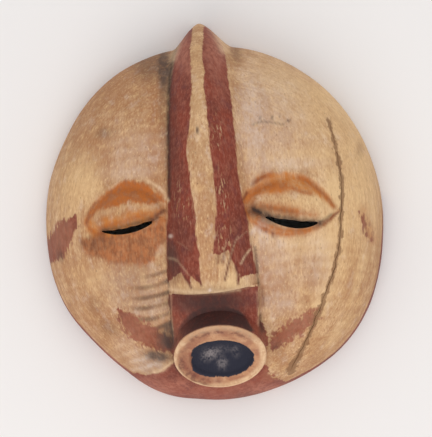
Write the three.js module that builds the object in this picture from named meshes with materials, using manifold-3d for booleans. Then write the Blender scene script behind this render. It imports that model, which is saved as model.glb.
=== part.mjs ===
// A round face mask carved in one piece of wood, lying on its back rim with the face up.
// +X is the viewer's right, +Y the top of the head, +Z out of the face. Millimetres.
// The body is a hollow dome. On it stand a crest that runs down into the nose, a raised band
// under the nose, a round mouth that points down and out, and two heavy eyelids over slits.
import * as THREE from "three";
import { mergeVertices } from "three/addons/utils/BufferGeometryUtils.js";
import Module from "manifold-3d";

// Dome
const HALF_WIDTH = 161;
const HALF_HEIGHT = 169;
const DEPTH = 125;
const FULLNESS = 2.3; // 2 is an ellipsoid, more is fuller at the shoulders
const WALL = 13;

// Where the hand-carved outline swells past an ellipse or falls short of it: the middle of each
// swell and its reach to either side in degrees from +X, and its share of the radius
const SWELLS = [
  { angle: 123, reach: 32, share: 0.018 },
  { angle: 200, reach: 18, share: 0.006 },
  { angle: 226, reach: 22, share: -0.015 },
  { angle: 250, reach: 15, share: 0.011 },
  { angle: 322, reach: 38, share: 0.034 },
];

const OUTSIDE = { inset: 0, sides: 80, levels: 22 };
const INSIDE = { inset: WALL, sides: 48, levels: 12 };

// Crest and nose: stations by angle about the X axis, 90 at the top of the rim, 0 at the middle.
// A section rises as height * (1 - t ** crown) ** flare, with t from 0 on the apex to 1 at the
// foot: a low crown is a sharp apex, a high flare a hollow foot. Lean moves the apex sideways.
const RIDGE = [
  { angle: 92, centre: -4.2, halfWidth: 25, height: 20.5, crown: 1.6, flare: 1.9, lean: -2.6 },
  { angle: 68, centre: -4.5, halfWidth: 34.5, height: 22, crown: 1.8, flare: 1.8, lean: -2 },
  { angle: 44, centre: -4.5, halfWidth: 34, height: 24, crown: 1.7, flare: 1.4, lean: -4 },
  { angle: 20, centre: -6, halfWidth: 37, height: 26.5, crown: 1.7, flare: 1.3, lean: -3.5 },
  { angle: 0, centre: -6, halfWidth: 39.5, height: 28.5, crown: 1.8, flare: 1.15, lean: -3.5 },
  { angle: -16, centre: -4.5, halfWidth: 41, height: 30.5, crown: 2, flare: 0.9, lean: -3.5 },
  { angle: -32, centre: -3.5, halfWidth: 41.5, height: 32, crown: 2, flare: 0.8, lean: -3 },
];
const RIDGE_STEPS = 38;
const RIDGE_SINK = 1; // the foot dips this far into the dome, for a clean edge

// The plane that ends the nose: it leans under the tip and is a little askew across the face
const NOSE_END = { y: -60, z: 125, underDegrees: 6, askewDegrees: 3.6 };

// Raised band between the nose and the mouth
const BAND = [
  { angle: -21, centre: -3.2, halfWidth: 41, height: 8 },
  { angle: -50, centre: -2.5, halfWidth: 39.5, height: 7 },
];
const BAND_STEPS = 12;
const BAND_INTO_NOSE = 0.4; // the band starts this far up inside the nose

// Mouth: a short oval tube whose face is tilted down from the mask's front
const MOUTH_TILT = THREE.MathUtils.degToRad(42.5);
const MOUTH_FACE = { y: -123.2, z: 111 };
const MOUTH_HALF_WIDTH = 42.8;
const MOUTH_HALF_HEIGHT = 40.2;
const MOUTH_ROOT = 44; // how far the tube reaches back from its face
const HOLLOW_SHIFT = { across: 1, up: -4 }; // the hollow is cut a little low and to the right
const HOLLOW_SHARE = { width: 0.68, height: 0.585 };
const MOUTH_SIDES = 48;

// Eyes, each from its inner to its outer corner; droop lowers the slit towards the outer end
const LEFT_EYE = {
  inner: [-42, 11],
  outer: [-118, 3],
  arch: 32.5,
  sag: 10.6,
  droop: 0.35,
  slit: [0.19, 0.8],
  gap: 6,
};
const RIGHT_EYE = {
  inner: [27, 12],
  outer: [115, 5],
  arch: 32.5,
  sag: 12.8,
  droop: 0.28,
  slit: [0.22, 0.78],
  gap: 7.6,
};
const EYES = [LEFT_EYE, RIGHT_EYE];
const LID_HEIGHT = 7;

// Drying crack: the plane x = offset + perDepth * z + perHeight * y, where it meets the dome
const CRACK = { offset: 28, perDepth: 0.93, perHeight: 0.15, top: 92, bottom: -141 };
const CRACK_WIDTH = 3;
const CRACK_DEPTH = 6;

const WOOD = new THREE.MeshStandardMaterial({ color: 0xc69c6d, roughness: 0.75, metalness: 0 });
const BELOW = 6; // everything is carved past the back plane, then sawn off flat there

const wasm = await Module();
wasm.setup();

// A closed triangle mesh as a manifold-3d solid.
function solidFrom(points, triangles) {
  const geometry = new THREE.BufferGeometry();
  const flat = points.flatMap((p) => [p.x, p.y, p.z]);
  geometry.setAttribute("position", new THREE.Float32BufferAttribute(flat, 3));
  geometry.setIndex(triangles.flat());
  return solidOfGeometry(geometry);
}

function solidOfGeometry(source) {
  const geometry = source.clone();
  geometry.deleteAttribute("normal");
  geometry.deleteAttribute("uv");
  const merged = mergeVertices(geometry, 1e-4);
  const mesh = new wasm.Mesh({
    numProp: 3,
    vertProperties: merged.attributes.position.array,
    triVerts: new Uint32Array(merged.index.array),
  });
  return new wasm.Manifold(mesh);
}

// A solid between rings of points: each ring is closed on itself, and both ends are capped.
function loft(rings) {
  const count = rings[0].length;
  const points = rings.flat();
  const triangles = [];
  for (let i = 0; i + 1 < rings.length; i++)
    for (let j = 0; j < count; j++) {
      const next = (j + 1) % count;
      const a = i * count + j;
      const b = i * count + next;
      triangles.push([a, b, b + count], [a, b + count, a + count]);
    }
  const cap = (ring, offset, flip) => {
    const middle = new THREE.Vector3();
    ring.forEach((p) => middle.addScaledVector(p, 1 / count));
    const hub = points.push(middle) - 1;
    for (let j = 0; j < count; j++) {
      const a = offset + j;
      const b = offset + ((j + 1) % count);
      triangles.push(flip ? [hub, b, a] : [hub, a, b]);
    }
  };
  cap(rings[0], 0, true);
  cap(rings.at(-1), (rings.length - 1) * count, false);
  const solid = solidFrom(points, triangles);
  return solid.volume() < 0 ? solidFrom(points, triangles.map((t) => [...t].reverse())) : solid;
}

const mix = (a, b, t) => a + (b - a) * t;
const smooth = (t) => t * t * (3 - 2 * t);

// The rim's radius at an angle in degrees, as a share of the ellipse's.
function rimScale(degrees) {
  let scale = 1;
  for (const { angle, reach, share } of SWELLS) {
    const away = Math.min(Math.abs(degrees - angle) / reach, 1);
    scale += share * Math.cos((Math.PI / 2) * away) ** 2;
  }
  return scale;
}

// 1 on the dome, less inside it. inset moves the whole surface inwards.
function domeLevel(x, y, z, inset = 0) {
  const degrees = (THREE.MathUtils.radToDeg(Math.atan2(y, x)) + 360) % 360;
  const across = Math.hypot(x / (HALF_WIDTH - inset), y / (HALF_HEIGHT - inset)) / rimScale(degrees);
  return across ** FULLNESS + (Math.max(z, 0) / (DEPTH - inset)) ** FULLNESS;
}

// Height of the dome's surface over a point of the back plane.
function domeHeight(x, y, inset = 0) {
  const left = 1 - domeLevel(x, y, 0, inset);
  return left > 0 ? (DEPTH - inset) * left ** (1 / FULLNESS) : 0;
}

// Distance from the X axis to the dome, at one x, in the direction of an angle from +Z to +Y.
function domeReach(x, angle) {
  let low = 0;
  let high = 2 * HALF_HEIGHT;
  for (let i = 0; i < 40; i++) {
    const middle = (low + high) / 2;
    const level = domeLevel(x, middle * Math.sin(angle), Math.max(middle * Math.cos(angle), 0));
    if (level < 1) low = middle;
    else high = middle;
  }
  return low;
}

// The dome as a solid, or the hollow inside it.
function domeSolid({ inset, sides, levels }) {
  const ring = (share, z) =>
    Array.from({ length: sides }, (_, i) => {
      const turn = (2 * Math.PI * i) / sides;
      const scale = share * rimScale((360 * i) / sides);
      const x = (HALF_WIDTH - inset) * scale * Math.cos(turn);
      return new THREE.Vector3(x, (HALF_HEIGHT - inset) * scale * Math.sin(turn), z);
    });
  const rings = [ring(1, -BELOW - inset)];
  for (let i = 0; i < levels; i++) {
    const angle = (Math.PI / 2) * (1 - i / levels);
    const share = Math.sin(angle) ** (2 / FULLNESS);
    rings.push(ring(share, (DEPTH - inset) * Math.cos(angle) ** (2 / FULLNESS)));
  }
  return loft(rings);
}

// Values between the stations of a ridge, at one angle in degrees.
function stationAt(stations, angle) {
  const last = stations.length - 1;
  const k = stations.findIndex((s, i) => i === last || stations[i + 1].angle <= angle);
  const from = stations[Math.min(k, last - 1)];
  const to = stations[Math.min(k, last - 1) + 1];
  const t = THREE.MathUtils.clamp((angle - from.angle) / (to.angle - from.angle), 0, 1);
  return Object.fromEntries(Object.keys(from).map((key) => [key, mix(from[key], to[key], t)]));
}

// The crest's section at a station, as [sideways, rise] in millimetres from foot to foot.
function ridgeSection({ halfWidth, height, crown, flare, lean }) {
  const half = 9;
  return Array.from({ length: 2 * half + 1 }, (_, j) => {
    const even = (j - half) / half;
    const t = mix(even, Math.sin((even * Math.PI) / 2), 0.35); // a little closer at the foot
    const rise = height * (1 - Math.abs(t) ** crown) ** flare - RIDGE_SINK * t ** 4;
    return [halfWidth * t + lean * (1 - t * t), rise];
  });
}

// The band's section: flat on top, with steep sides that end inside the dome.
function bandSection({ halfWidth, height }) {
  const edge = [
    [1.03, -0.5],
    [0.99, 0.7],
    [0.94, 0.97],
    [0.6, 1],
    [0.25, 1.02],
  ];
  const right = edge.map(([t, rise]) => [t * halfWidth, rise * height]);
  return [...right.map(([x, rise]) => [-x, rise]), ...right.toReversed()];
}

// A ridge that lies on the dome, from the first station to the last.
function ridgeSolid(stations, sectionAt, steps) {
  const embed = 9;
  const rings = [];
  for (let i = 0; i <= steps; i++) {
    const degrees = mix(stations[0].angle, stations.at(-1).angle, i / steps);
    const angle = THREE.MathUtils.degToRad(degrees);
    const station = stationAt(stations, degrees);
    const section = sectionAt(station);
    const point = ([sideways, rise]) => {
      const x = station.centre + sideways;
      const reach = domeReach(x, Math.min(angle, Math.PI / 2)) + rise;
      return new THREE.Vector3(x, reach * Math.sin(angle), reach * Math.cos(angle));
    };
    const base = section.map(([sideways]) => point([sideways, -embed]));
    rings.push([...section.map(point), ...base.reverse()]);
  }
  return loft(rings);
}

// Everything below the nose's end, or below a plane a little further up inside the nose.
function belowNose(up = 0) {
  const size = 200;
  const box = new THREE.BoxGeometry(size, size, size);
  box.translate(0, -size / 2, 0);
  box.rotateX(THREE.MathUtils.degToRad(NOSE_END.underDegrees));
  box.rotateZ(THREE.MathUtils.degToRad(NOSE_END.askewDegrees));
  box.translate(0, NOSE_END.y + up, NOSE_END.z);
  return solidOfGeometry(box);
}

// Rings about the mouth's axis. Each is [share of the half width, share of the half height,
// depth behind the mouth's face, share of the hollow's shift].
function mouthLoft(profile) {
  const up = new THREE.Vector3(0, Math.cos(MOUTH_TILT), Math.sin(MOUTH_TILT));
  const out = new THREE.Vector3(0, -Math.sin(MOUTH_TILT), Math.cos(MOUTH_TILT));
  const middle = new THREE.Vector3(0, MOUTH_FACE.y, MOUTH_FACE.z);
  const rings = profile.map(([wide, tall, depth, shift]) =>
    Array.from({ length: MOUTH_SIDES }, (_, i) => {
      const turn = (2 * Math.PI * i) / MOUTH_SIDES;
      const x = shift * HOLLOW_SHIFT.across + wide * MOUTH_HALF_WIDTH * Math.cos(turn);
      const v = shift * HOLLOW_SHIFT.up + tall * MOUTH_HALF_HEIGHT * Math.sin(turn);
      return middle.clone().addScaledVector(up, v).addScaledVector(out, -depth).setX(x);
    }),
  );
  return loft(rings);
}

// The mouth's tube, with a rounded lip.
function mouthTube() {
  return mouthLoft([
    [0.97, 0.97, MOUTH_ROOT, 0],
    [1, 1, 4, 0],
    [0.985, 0.985, 1.2, 0],
    [0.94, 0.94, 0, 0],
  ]);
}

// What is carved out of its face: a dished rim, then a round hollow.
function mouthHollow() {
  const { width, height } = HOLLOW_SHARE;
  return mouthLoft([
    [0.92, 0.92, -3, 0],
    [0.91, 0.91, 0.2, 0],
    [0.87, 0.86, 1, 0.2],
    [mix(width, 1, 0.2), mix(height, 1, 0.2), 2.2, 0.8],
    [width, height, 3.2, 1],
    [0.93 * width, 0.93 * height, 6.5, 1],
    [0.7 * width, 0.7 * height, 11, 1],
    [0.35 * width, 0.35 * height, 13.2, 1],
  ]);
}

// A point along an eye, from 0 at its inner corner to 1 at its outer, and its lid's two edges.
function eyeLine(eye, t) {
  const x = mix(eye.inner[0], eye.outer[0], t);
  const chord = mix(eye.inner[1], eye.outer[1], t);
  const bow = 4 * t * (1 - t);
  const upper = chord + eye.arch * bow ** 0.7;
  return { x, upper, lower: chord - eye.sag * bow * (1 + eye.droop * (2 * t - 1)), bow };
}

// An eyelid: swells from its arched upper edge and drops at the slit.
function lidSolid(eye) {
  const along = 18;
  const over = 8;
  const sunk = 4; // the underside lies this far inside the dome
  const upperSink = 1.2; // and the upper edge this far
  const waveStart = 0.27; // the swell is the rest of a half wave, from the slit to the upper edge
  const rings = [];
  for (let i = 0; i <= along; i++) {
    const t = mix(0.015, 0.985, (1 - Math.cos((Math.PI * i) / along)) / 2);
    const { x, upper, lower, bow } = eyeLine(eye, t);
    const top = [];
    const base = [];
    for (let j = 0; j <= over; j++) {
      const v = j / over;
      const y = mix(lower, upper, v);
      const swell = LID_HEIGHT * bow ** 0.6 * Math.sin(Math.PI * mix(waveStart, 1, v));
      top.push(new THREE.Vector3(x, y, domeHeight(x, y) + swell - upperSink * v ** 8));
      base.push(new THREE.Vector3(x, y, domeHeight(x, y) - sunk));
    }
    rings.push([...top, ...base.reverse()]);
  }
  return loft(rings);
}

// The slit under an eyelid, cut straight through the wall.
function slitSolid(eye) {
  const along = 14;
  const overshoot = 15;
  const rings = [];
  for (let i = 0; i <= along; i++) {
    const t = mix(eye.slit[0], eye.slit[1], i / along);
    const { x, lower } = eyeLine(eye, t);
    const open = (eye.gap / 2) * Math.sin(Math.PI * mix(0.06, 0.94, i / along)) ** 0.6;
    const front = domeHeight(x, lower) + overshoot;
    const back = domeHeight(x, lower) - WALL - overshoot;
    rings.push([
      new THREE.Vector3(x, lower + open, front),
      new THREE.Vector3(x, lower - open, front),
      new THREE.Vector3(x, lower - open, back),
      new THREE.Vector3(x, lower + open, back),
    ]);
  }
  return loft(rings);
}

// Where the crack's plane meets the dome, at one height on the face.
function crackPoint(y) {
  let x = CRACK.offset;
  for (let i = 0; i < 60; i++)
    x = mix(x, CRACK.offset + CRACK.perDepth * domeHeight(x, y) + CRACK.perHeight * y, 0.4);
  return new THREE.Vector3(x, y, domeHeight(x, y));
}

// A thin wedge along the crack, widest below the middle.
function crackSolid() {
  const steps = 28;
  const above = 2; // the wedge starts this far outside the dome
  const topShare = 0.3; // share of the full width at the upper end
  const footShare = 0.5; // and at the lower end
  const inwards = new THREE.Vector3(-CRACK.perDepth, 0, -1).normalize();
  const rings = [];
  for (let i = 0; i <= steps; i++) {
    const t = i / steps;
    const middle = crackPoint(mix(CRACK.top, CRACK.bottom, t));
    const share = t === 1 ? footShare : mix(topShare, 1, smooth(Math.min(1, 1.3 * t)));
    const half = (share * CRACK_WIDTH) / 2;
    const outside = middle.clone().addScaledVector(inwards, -above);
    rings.push([
      outside.clone().add(new THREE.Vector3(half, 0, 0)),
      outside.clone().add(new THREE.Vector3(-half, 0, 0)),
      middle.clone().addScaledVector(inwards, CRACK_DEPTH),
    ]);
  }
  return loft(rings);
}

function carveMask() {
  const sawnOff = new THREE.BoxGeometry(600, 600, 100).translate(0, 0, -50);
  const ridge = ridgeSolid(RIDGE, ridgeSection, RIDGE_STEPS);
  const band = ridgeSolid(BAND, bandSection, BAND_STEPS);
  let mask = domeSolid(OUTSIDE)
    .add(ridge.subtract(belowNose()))
    .add(band.intersect(belowNose(BAND_INTO_NOSE)))
    .add(mouthTube());
  for (const eye of EYES) mask = mask.add(lidSolid(eye));
  mask = mask.subtract(domeSolid(INSIDE)).subtract(mouthHollow());
  for (const eye of EYES) mask = mask.subtract(slitSolid(eye));
  return mask.subtract(crackSolid()).subtract(solidOfGeometry(sawnOff));
}

// The carved solid as a mesh, moved so that the middle of its bounding box's floor is the origin.
function meshOf(solid, name, material) {
  const { vertProperties, triVerts, numProp } = solid.getMesh();
  const geometry = new THREE.BufferGeometry();
  const positions = new Float32Array((vertProperties.length / numProp) * 3);
  for (let i = 0; i < positions.length / 3; i++)
    positions.set(vertProperties.subarray(i * numProp, i * numProp + 3), i * 3);
  geometry.setAttribute("position", new THREE.BufferAttribute(positions, 3));
  geometry.setIndex(new THREE.BufferAttribute(triVerts, 1));
  geometry.computeVertexNormals();
  geometry.computeBoundingBox();
  const middle = geometry.boundingBox.getCenter(new THREE.Vector3());
  const mesh = new THREE.Mesh(geometry, material);
  mesh.name = name;
  mesh.position.set(-middle.x, -middle.y, -geometry.boundingBox.min.z);
  return mesh;
}

const group = new THREE.Group();
group.add(meshOf(carveMask(), "mask", WOOD));

export default group;
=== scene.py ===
"""A round carved and painted wooden face mask, lying face up on a pale floor.

The mask is one piece of wood, so it is one mesh here. It is carved as the real one is: a
hollow dome that carries a crest, a band, a mouth and two eyelids, with slits and a drying
crack cut in. Lengths are millimetres in the mask's own axes, whose origin is the middle of
the rim: x to the viewer's right, y to the top of the head, z out of the face. to_frame()
turns them into the frame's metres.
"""

import math
from functools import reduce
from types import SimpleNamespace

import bmesh
import bpy
import numpy as np
from mathutils import Euler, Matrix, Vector


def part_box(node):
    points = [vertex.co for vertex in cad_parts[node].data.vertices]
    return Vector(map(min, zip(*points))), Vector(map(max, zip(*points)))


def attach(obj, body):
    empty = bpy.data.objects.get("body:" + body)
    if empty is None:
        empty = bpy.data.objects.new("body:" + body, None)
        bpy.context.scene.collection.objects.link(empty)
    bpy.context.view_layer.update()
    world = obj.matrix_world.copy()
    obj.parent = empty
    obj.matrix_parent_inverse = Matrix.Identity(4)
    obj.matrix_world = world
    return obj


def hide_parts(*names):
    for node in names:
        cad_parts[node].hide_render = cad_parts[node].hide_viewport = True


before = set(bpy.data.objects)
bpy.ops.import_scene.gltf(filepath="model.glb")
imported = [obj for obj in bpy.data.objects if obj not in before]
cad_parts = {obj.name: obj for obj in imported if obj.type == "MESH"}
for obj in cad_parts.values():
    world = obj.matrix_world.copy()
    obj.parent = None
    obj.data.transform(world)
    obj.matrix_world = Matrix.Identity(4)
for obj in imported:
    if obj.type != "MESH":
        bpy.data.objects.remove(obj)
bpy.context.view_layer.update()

# Dome. Its width comes from the frame, the rest from shares of it.
low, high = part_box("mask")
HALF_WIDTH = 500 * (high[0] - low[0])
HALF_HEIGHT = 1.0497 * HALF_WIDTH
DEPTH = 0.7764 * HALF_WIDTH
FULLNESS = 2.3  # 2 is an ellipsoid, more is fuller at the shoulders
WALL = 13
BELOW = 6  # solids are made this far past the back plane, then sawn off flat there
CELLS = 224  # of the dome's grid, each way
HOLLOW_CELLS = 96
PROFILE_STEPS = 600  # points along its profile
HALVINGS = 40  # of the distance in which dome_reach() searches
DOME_UNEVEN = ((0.5, 55), (0.25, 21))  # height and width of its bumps
DOME_SUNK = 0.75  # keeps the bumps' tops under the even surface
RELIEF_GROWS = (15, 45)  # its relief grows from none to full between these heights
MEAN_RADIUS = 140  # turns a share of the dome's size into millimetres below its surface

# Where the hand-carved outline swells past an ellipse or falls short of it: the middle of each
# swell and its reach to either side in degrees from +x, and its share of the radius
SWELLS = (
    (123, 32, 0.018), (200, 18, 0.006), (226, 22, -0.015), (250, 15, 0.011),
    (322, 38, 0.034),
)

RIM_CENTRE = (500 * (low[0] + high[0]), 1000 * low[1] + HALF_HEIGHT)

# Crest and nose, by angle about the x axis: 90 at the top of the rim, 0 at the middle.
# A section rises as height * (1 - t ** crown) ** flare, with t from 0 on the apex to 1 at
# the foot. Lean moves the apex sideways.
RIDGE_KEYS = ("angle", "centre", "half_width", "height", "crown", "flare", "lean")
RIDGE_STATIONS = (
    (-32, -3.5, 41.5, 32.0, 2.0, 0.80, -3.0),
    (-16, -4.5, 41.0, 30.5, 2.0, 0.90, -3.5),
    (0, -6.0, 39.5, 28.5, 1.8, 1.15, -3.5),
    (20, -6.0, 37.0, 26.5, 1.7, 1.30, -3.5),
    (44, -4.5, 34.0, 24.0, 1.7, 1.40, -4.0),
    (68, -4.5, 34.5, 22.0, 1.8, 1.80, -2.0),
    (92, -4.2, 25.0, 20.5, 1.6, 1.90, -2.6),
)
RIDGE_UNEVEN = ((0.5, 34), (0.3, 12))
RIDGE_SUNK = 0.4
RIDGE_SINK = 1  # how far the ridge's feet lie under the dome
RIDGE_ALONG = 250  # sections along it
RIDGE_ACROSS = 64  # points across it
RIDGE_EMBED = 9  # how deep its base, and the band's, reaches into the dome

# The plane that ends the nose: it leans under the tip and is a little askew across the face
NOSE_END_Y = -60
NOSE_END_Z = 125
NOSE_END_UNDER = math.radians(6)
NOSE_END_ASKEW = math.radians(3.6)

# Raised band between the nose and the mouth
BAND_ANGLES = (-21, -50)
BAND_INTO_NOSE = 0.4  # the band starts this far up inside the nose
BAND_CENTRES = (-3.2, -2.5)
BAND_HALF_WIDTHS = (41, 39.5)
BAND_HEIGHTS = (8, 7)
BAND_ALONG = 40
BAND_ACROSS = 28

# The band's rounded edge, from the outside in: share of the half width, share of the height
BAND_EDGE = ((1.03, -0.5), (0.995, 0.6), (0.98, 0.85), (0.955, 0.96), (0.92, 1.0))

# Mouth: a short oval tube whose face is tilted down from the mask's front
MOUTH_TILT = math.radians(42.5)
MOUTH_FACE_Y = -123.2
MOUTH_FACE_Z = 111
MOUTH_HALF_WIDTH = 42.8
MOUTH_HALF_HEIGHT = 40.2
MOUTH_ROOT = 44  # length of the tube, most of it inside the dome
HOLLOW_ACROSS = 1  # the hollow is cut a little to the right
HOLLOW_UP = -4  # and low
HOLLOW_WIDE = 0.68
HOLLOW_TALL = 0.585
DISH_LEFT = -26  # where the black paint in the hollow stops on the left
MOUTH_SIDES = 150

# What is painted as the tube's side and as its face
TUBE_REACH = 1.03  # share of the tube's radius that still belongs to it
SIDE_FROM = 0.96  # share of its radius where the side starts
SIDE_BELOW = 2.5  # depth behind the face where the side starts

# Eyes, from the inner to the outer corner; droop lowers the slit towards the outer end, and a
# blunt under 1 makes it widest near the inner one
EYE_KEYS = (
    "name", "inner", "outer", "arch", "sag", "droop", "slit", "gap", "blunt", "lower_rim",
)
EYE_ROWS = (
    ("left", (-42, 9), (-118, 3), 32.5, 10.0, 0.35, (0.19, 0.80), 5.6, 0.72, 0.3),
    ("right", (27, 12), (115, 5), 32.5, 12.8, 0.28, (0.22, 0.76), 7.2, 1.1, 1.0),
)
EYES = [dict(zip(EYE_KEYS, row)) for row in EYE_ROWS]
LID_HEIGHT = 7
LID_START = 0.27  # share of the lid's rounded section that is missing at the slit
SLIT_STEPS = 60
OVERCUT = 16  # how far a slit's cutter runs past the wall on both sides

# Beads and grooves about a lid: height, how far past its edge, half width
LID_GROOVE = (-2.0, -3.5, 3.4)
LID_BROW = (0.9, 3, 2.4)
LOWER_RIM = (1.5, 6.5, 3.2)

# Drying crack, from its top to its foot at the chin, and its width on the way
CRACK_LINE = (
    (109, 92), (113, 76), (116, 57), (119, 34), (118, 16), (116, -7), (113, -30),
    (107.5, -50), (99, -71), (91, -89), (82, -110), (72, -127), (65, -141),
)
CRACK_WIDTHS = (0.8, 1.3, 1.8, 1.6, 2.2, 2.4, 1.8, 2.2, 1.6, 1.8, 2.8, 3.4, 2.4)
CRACK_DEPTH = 3.2
CRACK_LEAN = 0.75  # how far the cut leans sideways for each millimetre of depth
CRACK_STEPS = 150

# Cuts that mark the wings of the nose, each from the side of the nose inwards and down
WING_CUTS = (
    ((-37.5, -15), (-32, -18), (-27, -23.5)),
    ((-44, -34.5), (-38, -35.5), (-30, -43), (-23, -51.5)),
    ((33, 0), (24, -13.5), (18.5, -22), (12.5, -40.5), (8.5, -54)),
    ((34, -24), (29.5, -31), (26, -40), (22, -54)),
)
WING_CUT_WIDTH = 1.1
WING_CUT_DEPTH = 0.9

# Gouge cuts on the left cheek: how far down the first is at the nose's side, and how far apart
CHEEK_CUT_AT = 62
CHEEK_CUT_PITCH = 9.8
CHEEK_CUT_DEPTH = 1.3

# Scoops that the gouge left in the hollow behind: their number, their shape as shares of a
# round one's size along x, y and z, how fast they get shallow and how deep they are
SCOOPS = 260
SCOOP_SHAPE = (0.8, 1.5, 1.2)
SCOOP_SPREAD = 110
SCOOP_DEPTH = 1.3
SCOOP_LEVEL = 0.9  # a scoop this deep leaves the wall as thick as stated

SAW_HALF = 400  # of the box that saws the back off flat
SAW_DEPTH = 60
OFF_FACE = 0.5  # paint is looked up this far off the wood, clear of its edges
MERGE_DISTANCE = 0.00008  # metres; corners nearer than this become one
SHARP_ANGLE = math.radians(34)  # an edge that bends more stays sharp

# Outlines of the paint on the face. The crest's is everything between its feet, down to the
# ragged lower edge on the nose; the stripe is left bare on the crest's apex.
CREST_PAINT = (
    (-45, -52), (-45, -23), (-44, -5), (-42, 22), (-39.5, 68), (-38, 95), (-37, 114),
    (-35, 134), (-31, 152), (-29, 170), (-28, 210), (3, 210), (9, 180), (14.5, 166),
    (17.2, 153), (18, 138), (19.8, 121), (21.5, 92), (23, 74), (23, 46), (25, 30), (28, 10),
    (30.5, 0), (32.2, -17), (34.4, -35), (37.5, -47), (35.6, -48), (29.8, -47.8), (23.3, -49.9),
    (18.6, -56.3), (19.6, -47.3), (16.2, -36.9), (14.2, -34.2), (11.6, -25.1), (2.4, -29.2),
    (-2.6, -27.1), (-15.5, -30.2), (-15.6, -40.7), (-14.5, -54.6), (-17.9, -50.8),
    (-24, -47.9), (-23.1, -57), (-28, -50.4), (-32.2, -43.8), (-36.8, -44.9), (-40.3, -49),
)
BARE_STRIPE = (
    (-13, 210), (-13.5, 176), (-15.9, 159), (-15.5, 144), (-16.1, 125), (-17.6, 106),
    (-19.6, 88), (-23, 67), (-21.3, 47), (-19.9, 31), (-16.8, 11), (-17, -12),
    (-16, -21), (-13.4, -33), (-2.6, -33), (-0.2, -16), (0.6, -5), (2.6, 10), (2.2, 30),
    (0.7, 51), (-1, 72), (-2, 90), (-2, 108), (-4.7, 124), (-3.4, 138), (-4.6, 155),
    (-3, 172), (1, 210),
)
BAND_PAINT = ((-46, -45), (-43.5, -85), (-43, -114), (38.5, -110), (37.6, -85), (37, -45))
CHEEK_PAINT = (
    (
        (-96, -73), (-81, -78.5), (-61, -92.5), (-45, -102), (-41, -111), (-42, -120),
        (-55, -116), (-73, -110), (-86, -100), (-92, -86),
    ),
    (
        (95, -82), (82, -85.5), (70.8, -90), (58.5, -97), (47, -106), (47, -120), (56, -117),
        (69, -111), (83, -102), (94, -92),
    ),
)
TEMPLE_PAINT = (
    (
        (-164, -16), (-155, -4), (-146, 6), (-128, 13), (-125, 4), (-131, -10.5),
        (-142, -26), (-152, -30.5), (-162, -34),
    ),
    ((134, 5), (138, 2), (141, -6), (145, -14), (147, -25), (142, -21), (137, -10)),
)
CHIN_PAINT = (
    (-81, -138), (-70, -139.5), (-60, -137.5), (-52, -133.5), (-45, -128), (-30, -118),
    (30, -118), (44, -137), (50, -146), (60, -152), (67, -160), (72, -210), (-100, -210),
    (-86, -142),
)

# Paint about the eyes: thick on the lids, thin around them, and brown under the left one
LID_PAINT = (
    (
        (-116.6, 7.7), (-110, 20.7), (-101.2, 28.6), (-92.5, 34.8), (-82.2, 40.1),
        (-71.3, 41.3), (-62.2, 38.3), (-55, 33), (-46.9, 26.9), (-42, 20), (-51.3, 20.5),
        (-59.6, 19.2), (-67.9, 20.4), (-76.1, 23.3), (-86.3, 18.8), (-101.6, 17.8),
        (-106.7, 17.2), (-113.1, 8.4),
    ),
)
LID_WASH = (
    (
        (-101.9, 7.9), (-89.2, 9), (-76.5, 12.6), (-68.1, 13.8), (-59.9, 12.7), (-55, 11.6),
        (-54, 1), (-66, -2), (-78, -6), (-90, -8), (-100, -8), (-104, -2),
    ),
    ((-118, 8), (-112.5, 8), (-107, 0), (-105, -8), (-112, -9), (-116.5, -2)),
    (
        (28.1, 22), (39.6, 33.7), (53.1, 41.8), (66.3, 42.3), (79.5, 40.3), (93.5, 32.7),
        (103.3, 22.2), (111, 10.5), (106.9, 9.9), (100.9, 15.7), (93, 22.6), (82.8, 25.5),
        (70.7, 28.5), (65.4, 24.1), (52.3, 24.2), (42.2, 25.1), (35, 21.9), (30, 16),
    ),
)
UNDER_EYE_PAINT = (
    (
        (-124, -10), (-123, -16), (-119, -24.5), (-103.9, -28.6), (-91.4, -33),
        (-78.9, -35.1), (-66.4, -36.4), (-56.2, -31.2), (-51.5, -19.8), (-44.7, -16),
        (-44, -3.6), (-47.5, 4), (-56.4, 1), (-77.5, -4), (-98.6, -5), (-107, -4.3),
        (-112.3, -7.5), (-118.4, -8.9),
    ),
)

# Painted shade on the band, over the top of the mouth
MOUTH_PAINTED_SHADE = (
    (-37, -99), (-36, -94), (-31.5, -86), (-24, -80), (-13.4, -75.5), (-1.2, -75),
    (10.8, -76.5), (19.7, -80.5), (25.6, -87), (28.5, -93), (32, -99), (20, -104), (0, -106),
    (-20, -106),
)

# Distances that stand for well inside or well outside a paint
TUBE_RED = 4
FACE_BARE = -8
RED_OVER = -3  # where red lies over the orange and brown
NO_BLACK = -20
RIM_RED = 6  # the most that the rim's paint counts for

# Height of the paint above the back plane, along the rim, at turns in degrees from +x
RIM_PAINT = (
    (0, 24), (8, 0), (165, 0), (182, 12), (200, 20), (215, 30), (228, 34), (245, 38),
    (270, 38), (295, 36), (315, 33), (335, 31), (350, 31), (360, 24),
)

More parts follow.
